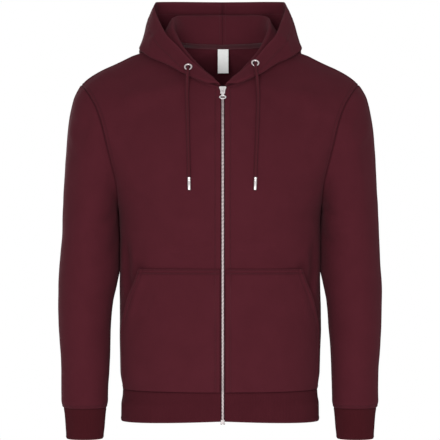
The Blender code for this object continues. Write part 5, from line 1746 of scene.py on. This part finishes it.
def beside(panel, edge, towards, gap, ends):
    """A line on the panel at a distance from its edge line, trimmed at its ends."""
    edge = resample(edge, 0.003)
    along = unit(np.gradient(edge, axis=0))
    inward = np.array([towards[np.sum((towards - p) ** 2, axis=1).argmin()] for p in edge]) - edge
    inward = evened(unit(inward - np.sum(inward * along, axis=1, keepdims=True) * along), 4)
    line = edge + inward * gap
    at = run_of(line)
    line = line[(at >= ends[0]) & (at <= at[-1] - ends[1])]
    return on_cloth(panel, line)


def casing_line(panel):
    """The hood's casing row, where the rim is a casing's width away on every cross-section."""
    outer, points, ways = panel.outer(), [], []
    for row, normals, gap in zip(outer, panel.normals, panel.rim_gap):
        if gap[0] > HOOD_CASING_ROW + 0.003:
            at = np.interp(-HOOD_CASING_ROW, -gap, np.arange(len(gap)))
            low = min(int(at), len(gap) - 2)
            share = at - low
            ways.append(normals[low] * (1 - share) + normals[low + 1] * share)
            points.append(row[low] * (1 - share) + row[low + 1] * share)
    ways = unit(np.array(ways))
    return np.array(points) + ways * STITCH_LIFT, ways


def through(line, thick):
    """The same stitch line on the other face of the cloth."""
    points, ways = line
    return points - ways * (thick + 2 * STITCH_LIFT), -ways


def add_stitches(name, lines, stitches, finish, slot="fleece", **sizes):
    piece = stitches.run(name, stitch_mesh(name + "_lines", lines), finish, slot, **sizes)
    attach(piece, GARMENT)


def stitch_mesh(name, lines):
    """Loose edges along stitch lines, with the way out of the cloth at each point."""
    points, ways, edges = [], [], []
    for line, out in lines:
        first = len(points)
        points += [tuple(p) for p in line]
        ways += [tuple(w) for w in out]
        edges += [(k, k + 1) for k in range(first, len(points) - 1)]
    mesh = bpy.data.meshes.new(name)
    mesh.from_pydata(points, edges, [])
    out = mesh.attributes.new("out", "FLOAT_VECTOR", "POINT")
    out.data.foreach_set("vector", np.array(ways, np.float32).ravel())
    return mesh


# ---------------- zip, eyelets and cords


# The zip's tapes: their sides from the middle of the zip, their faces behind the cloth, their ends
TAPE_IN_X, TAPE_OUT_X, TAPE_FRONT, TAPE_BACK = 0.0004, 0.0150, -0.0030, -0.0038
TAPE_FOOT_Z, TAPE_TOP_Z = -0.690, -0.0760
# How deep the teeth lie, how far each row is from the middle, and how soft metal edges are
TOOTH_DEPTH, TOOTH_MIDDLE_X, METAL_EDGE = 0.0013, 0.00080, 0.00025


def zip_edge(count, foot_z, top_z):
    """The middle of the zip on the cloth's outer face between two heights, and the way out of it."""
    line = read_rows(FRONT_ROWS, np.linspace(-1, FRONT_NECK_LEVEL, count))[:, 0:3] * (0, 1, 1)
    rise = unit(np.gradient(line, axis=0))
    out = np.stack([0 * rise[:, 0], -rise[:, 2], rise[:, 1]], axis=1)
    kept = (line[:, 2] >= foot_z) & (line[:, 2] <= top_z)
    return line[kept], out[kept]


def zip_teeth(teeth, finish):
    """Both rows of teeth, those of one row between those of the other."""
    line, out = zip_edge(400, CHAIN_FOOT_Z, CHAIN_TOP_Z)
    rows = []
    for sign, start in ((1, 0.0), (-1, TOOTH_PITCH / 2)):
        row = place(line - out * TOOTH_DEPTH, 1) + (sign * TOOTH_MIDDLE_X, 0, 0)
        run = run_of(row) >= start
        rows.append((row[run], out[run]))
    return teeth.run("zip_teeth", stitch_mesh("zip_rows", rows), finish, "metal")


def zip_tape(name, side):
    """One tape of the zip, a thin strip behind the front edge."""
    line, out = zip_edge(240, TAPE_FOOT_Z, TAPE_TOP_Z)
    columns = np.linspace(side * TAPE_IN_X, side * TAPE_OUT_X, 7)
    points = np.stack([line + out * TAPE_FRONT + (x, 0, 0) for x in columns], axis=1)
    panel = Panel(place(points, 1), np.stack([out] * len(columns), axis=1))
    panel.pattern[..., 0] = columns - columns[0]
    return shell(name, [panel], TAPE_FRONT - TAPE_BACK, [SIDES])


def soften_edges(mesh, pick, width, flat_angle=None):
    """Bevels the edges of a mesh that pick chooses, and turns its faces outwards."""
    shape = bmesh.new()
    shape.from_mesh(mesh)
    bmesh.ops.remove_doubles(shape, verts=shape.verts[:], dist=1e-6)
    if flat_angle:
        bmesh.ops.dissolve_limit(
            shape, angle_limit=radians(flat_angle), verts=shape.verts[:], edges=shape.edges[:])
    bmesh.ops.recalc_face_normals(shape, faces=shape.faces[:])
    edges = [edge for edge in shape.edges if pick(edge)]
    bmesh.ops.bevel(
        shape, geom=edges, offset=width, segments=2, profile=0.6, affect="EDGES", clamp_overlap=True)
    bmesh.ops.recalc_face_normals(shape, faces=shape.faces[:])
    shape.to_mesh(mesh)
    shape.free()


def finer_metal(node, name, finish):
    """A hard node's own shape with its edges softened."""
    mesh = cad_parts[node].data.copy()
    mesh.name = name
    soften_edges(
        mesh, lambda edge: len(edge.link_faces) == 2 and edge.calc_face_angle(0) > radians(28), METAL_EDGE, 2)
    mesh.shade_smooth()
    mesh.set_sharp_from_angle(angle=radians(40))
    return new_piece(name, mesh, finish)


BOX_OUTLINE = (  # half of the zip's box: half width, height above its foot
    (0.0000, 0.0091), (0.0030, 0.0091), (0.0034, 0.0086), (0.0034, 0.0042), (0.0041, 0.0030),
    (0.0042, 0.0008), (0.0038, 0.0000), (0.0016, 0.0000), (0.0009, 0.0014), (0.0000, 0.0016),
)
BOX_EDGE = 0.0004


def zip_box(finish):
    """The box at the zip's foot, with the slot between its two feet."""
    low, high = (np.array(corner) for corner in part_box("zip_bottom"))
    middle = (low[0] + high[0]) / 2
    outline = [(middle + x, low[2] + z) for x, z in BOX_OUTLINE]
    outline += [(2 * middle - x, z) for x, z in outline[-2:0:-1]]
    count = len(outline)
    points = [(x, y, z) for y in (low[1], high[1]) for x, z in outline]
    faces = [tuple(range(count)), tuple(range(2 * count - 1, count - 1, -1))]
    faces += [(k, k + count, (k + 1) % count + count, (k + 1) % count) for k in range(count)]
    mesh = mesh_of("zip_box", points, faces)
    soften_edges(mesh, lambda edge: abs(edge.verts[0].co.y - edge.verts[1].co.y) < 1e-6, BOX_EDGE)
    return new_piece("zip_box", tidy_mesh(mesh, sharp=35), finish)


EYELET_SPOTS = {  # middle of each eyelet on the cloth and the way out of it
    "left": ((0.06509, -0.07966, -0.03105), (0.0316, -0.8152, 0.5783)),
    "right": ((-0.05871, -0.08519, -0.03871), (-0.0453, -0.8054, 0.5911)),
}
EYELET_PROFILE = (  # radius, height off the cloth
    (0.0076, 0.0009), (0.0077, 0.0014), (0.0074, 0.0020), (0.0068, 0.0024), (0.0060, 0.0024),
    (0.0052, 0.0021), (0.0047, 0.0016), (0.0045, 0.0009), (0.0045, 0.0003), (0.0050, 0.0003),
    (0.0052, 0.0009),
)
# a thin dark disc in the eyelet's hole, a painted shadow: radius, height off the cloth
HOLE_SHADOW_PROFILE = (
    (0.0, 0.0007), (0.0020, 0.0007), (0.0046, 0.0006), (0.0048, 0.0004), (0.0046, 0.0002), (0.0, 0.0002),
)
TIP_SHAPE = (  # along the tip, radius
    (0.0000, 0.0), (0.0000, 0.0024), (0.0005, 0.0029), (0.0012, 0.0030), (0.0034, 0.0030),
    (0.0038, 0.0027), (0.0044, 0.0027), (0.0048, 0.0030), (0.0066, 0.0030), (0.0070, 0.0027),
    (0.0076, 0.0027), (0.0080, 0.0030), (0.0215, 0.0030), (0.0228, 0.0029), (0.0236, 0.0026),
    (0.0240, 0.0020), (0.0240, 0.0),
)
# The cord's braid: strands each way, the run of one turn, how far a strand stands out, the cord's sides
STRANDS, STRAND_RUN, STRAND_HEIGHT, CORD_SIDES = 4, 0.0050, 0.00042, 28


def add_eyelet(name, finishes):
    """A rolled metal eyelet on the hood, with a dark disc in its hole as painted shadow."""
    middle, out = (np.array(v) for v in EYELET_SPOTS[name])
    ring, hole = turned(EYELET_PROFILE, middle, out, 48), turned(HOLE_SHADOW_PROFILE, middle, out, 28)
    ring = solid_piece(f"eyelet_{name}_ring", *ring, finishes["eyelet_metal_painted_pink"], "metal")
    hole = solid_piece(f"eyelet_{name}_hole", *hole, finishes["eyelet_hole_painted_shadow"], "cord", 1e-5)
    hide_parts(f"eyelet_{name}")
    for piece in (ring, hole):
        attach(piece, GARMENT)


def braid(line):
    """The radii of a braided cord by ring and side, and how far out its strands stand there."""
    at = run_of(line)[:, None]
    turns = np.arange(CORD_SIDES)[None, :] * 2 * pi / CORD_SIDES
    one, two = (np.cos(STRANDS * turns + way * at * (2 * pi / STRAND_RUN)) for way in (1, -1))
    strand = np.maximum(one, two) * 0.5 + 0.5
    ends = np.clip(np.minimum(at, at[-1] - at) / 0.0008, 0.55, 1)
    return (CORD_DIAMETER / 2 - STRAND_HEIGHT + STRAND_HEIGHT * strand) * ends, strand


def add_cord(name, finishes):
    """A braided cord on its route, with its metal tip."""
    route = np.array(CORD_ROUTES[name])
    line = resample(rounded(route, 0.0010), 0.0007)
    radii, strand = braid(line)
    cord = solid_piece(
        f"cord_{name}", *tube(line, radii, CORD_SIDES), finishes["cord"], "cord",
        values={"strand": strand.ravel()})
    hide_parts(f"drawcord_{name}")
    along = unit(line[-1] - line[-2])
    stations = [line[-1] + along * (TIP_GAP + down) for down, _ in TIP_SHAPE]
    tip = round_piece(stations, along, [radius for _, radius in TIP_SHAPE], CORD_SIDES)
    tip = solid_piece(f"tip_{name}", *tip, finishes["metal"], "metal", sharp=60)
    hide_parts(f"cord_tip_{name}")
    for piece in (cord, tip):
        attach(piece, GARMENT)


TAPE_TURN = 0.35  # how far the tape turns with the hood above the seam


def neck_tape(torso):
    """The twill tape over the back of the neck seam, on the inside."""
    stations = np.linspace((NECK_STEPS_FRONT + 1) / (NECK_STEPS_FRONT + NECK_STEPS_BACK), 1, 70)
    points, normals, away = neckline(torso, stations)
    starts = points + away * SEAM_GAP
    firsts = [curve_through(hood_controls(s, t), HOOD_SAMPLES)[:6] for s, t in zip(starts, stations)]
    rise = unit(np.array([first[5] - first[0] for first in firsts]))
    rise[-1, 0] = 0.0
    hood_out = unit(np.cross(np.gradient(points, axis=0), rise))
    hood_out = np.where(np.sum(hood_out * normals, axis=1, keepdims=True) < 0, -hood_out, hood_out)
    turned_out = unit(normals * (1 - TAPE_TURN) + hood_out * TAPE_TURN)
    columns = []
    for down in np.linspace(-NECK_TAPE_BELOW, NECK_TAPE_ABOVE, 13):
        way = away if down < 0 else rise
        out = normals if down < 0 else unit(normals + (turned_out - normals) * (down / NECK_TAPE_ABOVE))
        columns.append((points + way * down, out))
    depth = HOOD_CLOTH + NECK_TAPE_GAP
    outer = np.stack([p - n * depth for p, n in columns], axis=1)
    normals = np.stack([n for _, n in columns], axis=1)
    normals[-1, :, 0] = 0.0
    panel = Panel(*both_sides(outer, normals, 0))
    panel.pattern = panel.pattern[..., ::-1].copy()
    # painted highlight: the tape lighter towards one long edge, where light catches it
    panel.wear = np.broadcast_to(np.linspace(1, 0, 13)[None, :] ** 4, panel.wear.shape).copy()
    return panel, shell("neck_twill_tape", [panel], NECK_TAPE_THICK, [SIDES])


def label_mesh():
    """The bare woven label: two layers folded at the top, a little curled at its foot."""
    wide, thick, tall = LABEL_SIZE
    across, up = np.linspace(-0.5, 0.5, 27), np.linspace(-0.5, 0.5, 60)
    across = np.sign(across) * (1 - (1 - np.abs(across) * 2) ** 1.3) / 2
    grid = np.empty((len(up), len(across), 3))
    grid[..., 0] = across[None, :] * wide
    grid[..., 2] = up[:, None] * tall
    fold = hump((up[:, None] - 0.44) / 0.05) + 0.6 * hump((up[:, None] + 0.46) / 0.04)
    edge = np.clip((0.5 - np.abs(across[None, :])) / 0.03, 0, 1)
    edge = edge * np.clip((0.5 - np.abs(up[:, None])) / 0.012, 0, 1)
    grid[..., 1] = -thick / 2 + 0.00022 * (1 - edge) - 0.00016 * fold
    points = place(grid + LABEL_CENTRE, 1)
    panel = Panel(points, np.broadcast_to(FORWARDS, points.shape))
    panel.pattern = np.stack(np.broadcast_arrays(across[None, :] * wide, up[:, None] * tall), axis=2)
    return panel, shell("woven_label", [panel], thick * 0.6, [SIDES])


# ---------------- dressing


def add_cloth(piece, node):
    """Puts a finished cloth piece in its node's place."""
    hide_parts(node)
    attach(piece, GARMENT)


def add_fleece(title, panels, walls, finishes, stitches, thick=CLOTH, lines=None):
    """A fleece piece with its rows of stitches, in place of the node of that name."""
    mesh = tidy_mesh(shell(f"{title}_cloth", panels, thick, walls))
    add_cloth(new_piece(f"{title}_cloth", mesh, finishes["fleece"]), title)
    lines = lines or [beside(panel, *row) for panel in panels for row in panel.rows]
    add_stitches(f"{title}_stitches", lines, stitches, finishes["thread"])


def add_rib(name, panel, walls, ribs, finish, node):
    """A rib band: its shell with knitted ribs raised on the outside."""
    extra = {"across": panel.pattern[..., 0].ravel(), "out": panel.normals.reshape(-1, 3)}
    mesh = tidy_mesh(shell(name + "_base", [panel], RIB_CLOTH, [walls], extra))
    add_cloth(ribs.run(name, mesh, finish, "rib"), node)


METRES_PER_PIXEL, IMAGE_SIZE, CAMERA_DISTANCE, CAMERA_Z, SENSOR = 0.001886, 440, 4.0, -0.3206, 36.0
ROOM_LIGHT, MIRRORED_ROOM = 0.43, 0.75  # the pale room's strength on cloth and in metal
FLOOR_Z, FLOOR_THICK, FLOOR_RADIUS, FLOOR_SIDES = -1.45, 0.02, 3.4, 64
# Each light: its place, what it is aimed at, its size and watts
LIGHTS = {
    "key": ((-0.8, -4.6, -0.30), (0, 0, -0.30), 2.0, 108),
    "fill": ((1.5, -4.2, -0.6), (0, 0, -0.35), 2.2, 38),
    "rear": ((-1.8, 4.2, 1.2), (0, 0, -0.3), 2.6, 110),
}


def make_camera():
    """Level with the middle of the garment, straight in front."""
    lens = bpy.data.cameras.new("camera")
    lens.sensor_width = SENSOR
    lens.lens = SENSOR * CAMERA_DISTANCE / (IMAGE_SIZE * METRES_PER_PIXEL)
    lens.clip_start, lens.clip_end = 0.1, 50.0
    camera = bpy.data.objects.new("camera", lens)
    camera.location = (0.0, -CAMERA_DISTANCE, CAMERA_Z)
    camera.rotation_euler = (radians(90), 0.0, 0.0)
    bpy.context.scene.collection.objects.link(camera)
    bpy.context.scene.camera = camera


def add_light(name, place, aim, size, watts):
    """A round soft light."""
    data = bpy.data.lights.new(name, "AREA")
    data.shape, data.size, data.energy = "DISK", size, watts
    thing = bpy.data.objects.new(name, data)
    thing.location = place
    thing.rotation_euler = (Vector(aim) - Vector(place)).to_track_quat("-Z", "Y").to_euler()
    bpy.context.scene.collection.objects.link(thing)


def add_floor(finish):
    """A pale round floor, well below the garment."""
    ring = spokes((FLOOR_RADIUS, 0, 0), (0, FLOOR_RADIUS, 0), FLOOR_SIDES)
    points = np.concatenate([ring + (0, 0, FLOOR_Z - down) for down in (0, FLOOR_THICK)])
    first, last = FLOOR_SIDES, 2 * FLOOR_SIDES
    faces = [list(range(first)), list(range(last - 1, first - 1, -1))]
    faces += [[k, k + first, (k + 1) % first + first, (k + 1) % first] for k in range(first)]
    new_piece("floor", mesh_of("floor", points, faces), finish)


def make_studio(finishes):
    """The floor, a pale room that lights the cloth softly, and three lights."""
    add_floor(finishes["floor"])
    world = bpy.data.worlds.new("studio")
    world.use_nodes = True
    sky = Sheet(world.node_tree)
    ray = sky.node("ShaderNodeLightPath")
    mirrored_room = ray["Is Glossy Ray"] * (MIRRORED_ROOM - ROOM_LIGHT)
    strength = ray["Is Camera Ray"] * (1.0 - ROOM_LIGHT) + mirrored_room + ROOM_LIGHT
    room = world.node_tree.nodes["Background"]
    room.inputs["Color"].default_value = (1, 1, 1, 1)
    world.node_tree.links.new(strength.socket, room.inputs["Strength"])
    bpy.context.scene.world = world
    bpy.context.scene.view_settings.view_transform = "Standard"
    for name, light in LIGHTS.items():
        add_light(name, *light)


def dress_torso(torso, finishes, stitches):
    """The two fronts, and the back in one piece."""
    for name, panel in front_panels(torso).items():
        add_fleece(name, [panel], [SIDES], finishes, stitches)
    first_open = int(np.count_nonzero(torso.back.body)) - 1
    walls = ["low", "high", "outer", ("inner", slice(first_open, None))]
    add_fleece("back", back_panels(torso), [walls, walls], finishes, stitches)


def dress_sleeves(torso, finishes, stitches, ribs):
    """The sleeves and their cuffs."""
    for name, panel in sleeve_panels(torso).items():
        add_fleece(f"sleeve_{name}", [panel], [("low", "high")], finishes, stitches)
    for name, panel in cuff_panels().items():
        add_rib(f"cuff_{name}_rib", panel, ("low", "high"), ribs, finishes["cuff_rib_shaded"], f"cuff_{name}")


def dress_hood(torso, finishes, stitches):
    """The hood's halves, whose stitches show on both faces."""
    for name, panel in hood_panels(*hood_grid(torso)).items():
        lines = [casing_line(panel), *(beside(panel, *row) for row in panel.rows)]
        lines += [through(line, HOOD_CLOTH) for line in lines]
        add_fleece(f"hood_{name}", [panel], [SIDES], finishes, stitches, HOOD_CLOTH, lines)


def dress_pockets(finishes, stitches):
    """The two pockets, on the fronts."""
    for name, panel in pocket_panels().items():
        add_fleece(f"pocket_{name}", [panel], [SIDES], finishes, stitches)


def dress_neck(torso, finishes, stitches):
    """The neck tape, sewn along both edges, and the label, sewn along its top."""
    panel, tape = neck_tape(torso)
    add_cloth(new_piece("neck_twill_tape", tidy_mesh(tape), finishes["tape"]), "neck_tape")
    inside = Panel(panel.points - panel.normals * NECK_TAPE_THICK, -panel.normals)
    ends = (0.002, 0.002)
    lines = [
        beside(inside, inside.points[:, edge], inside.points[:, near], TAPE_ROW, ends)
        for edge, near in ((0, 5), (-1, -6))
    ]
    add_stitches("neck_tape_stitches", lines, stitches, finishes["thread"], "tape")
    panel, label = label_mesh()
    add_cloth(new_piece("woven_label", tidy_mesh(label), finishes["label"]), "neck_label")
    row = panel.outer()[-4, 2:-2]
    ways = np.broadcast_to(FORWARDS, row.shape)
    small = {"spacing": 0.0019, "length": 0.0014, "thread": 0.00035}
    lines = [(row + ways * 0.0001, ways)]
    add_stitches("label_stitches", lines, stitches, finishes["white_thread"], "label", **small)


def dress_zip(finishes, teeth):
    """The zip's tapes, teeth, slider, pull tab and box."""
    for name, side in (("left", 1), ("right", -1)):
        title = f"zip_tape_{name}_twill"
        piece = new_piece(title, tidy_mesh(zip_tape(title, side)), finishes["zip_cloth"])
        add_cloth(piece, f"zip_tape_{name}")
    metal = finishes["metal"]
    hard_pieces = (
        (zip_teeth(teeth, finishes["teeth_metal"]), "zip_chain", GARMENT),
        (finer_metal("zip_slider", "slider_body", metal), "zip_slider", GARMENT),
        (finer_metal("zip_pull", "pull_tab_metal", metal), "zip_pull", PULL_TAB),
        (zip_box(finishes["box_metal"]), "zip_bottom", GARMENT),
    )
    for piece, node, body in hard_pieces:
        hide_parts(node)
        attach(piece, body)


def main():
    make_camera()
    finishes = make_finishes()
    stitches, teeth, ribs = stitch_tree(), tooth_tree(), rib_tree()
    for name in ("left", "right"):
        add_cord(name, finishes)
        add_eyelet(name, finishes)
    torso = Torso()
    dress_torso(torso, finishes, stitches)
    dress_sleeves(torso, finishes, stitches, ribs)
    dress_hood(torso, finishes, stitches)
    dress_pockets(finishes, stitches)
    add_rib("hem_rib", hem_band_panel(), SIDES, ribs, finishes["rib"], "hem_band")
    dress_neck(torso, finishes, stitches)
    dress_zip(finishes, teeth)
    make_studio(finishes)
    bpy.context.view_layer.update()


main()
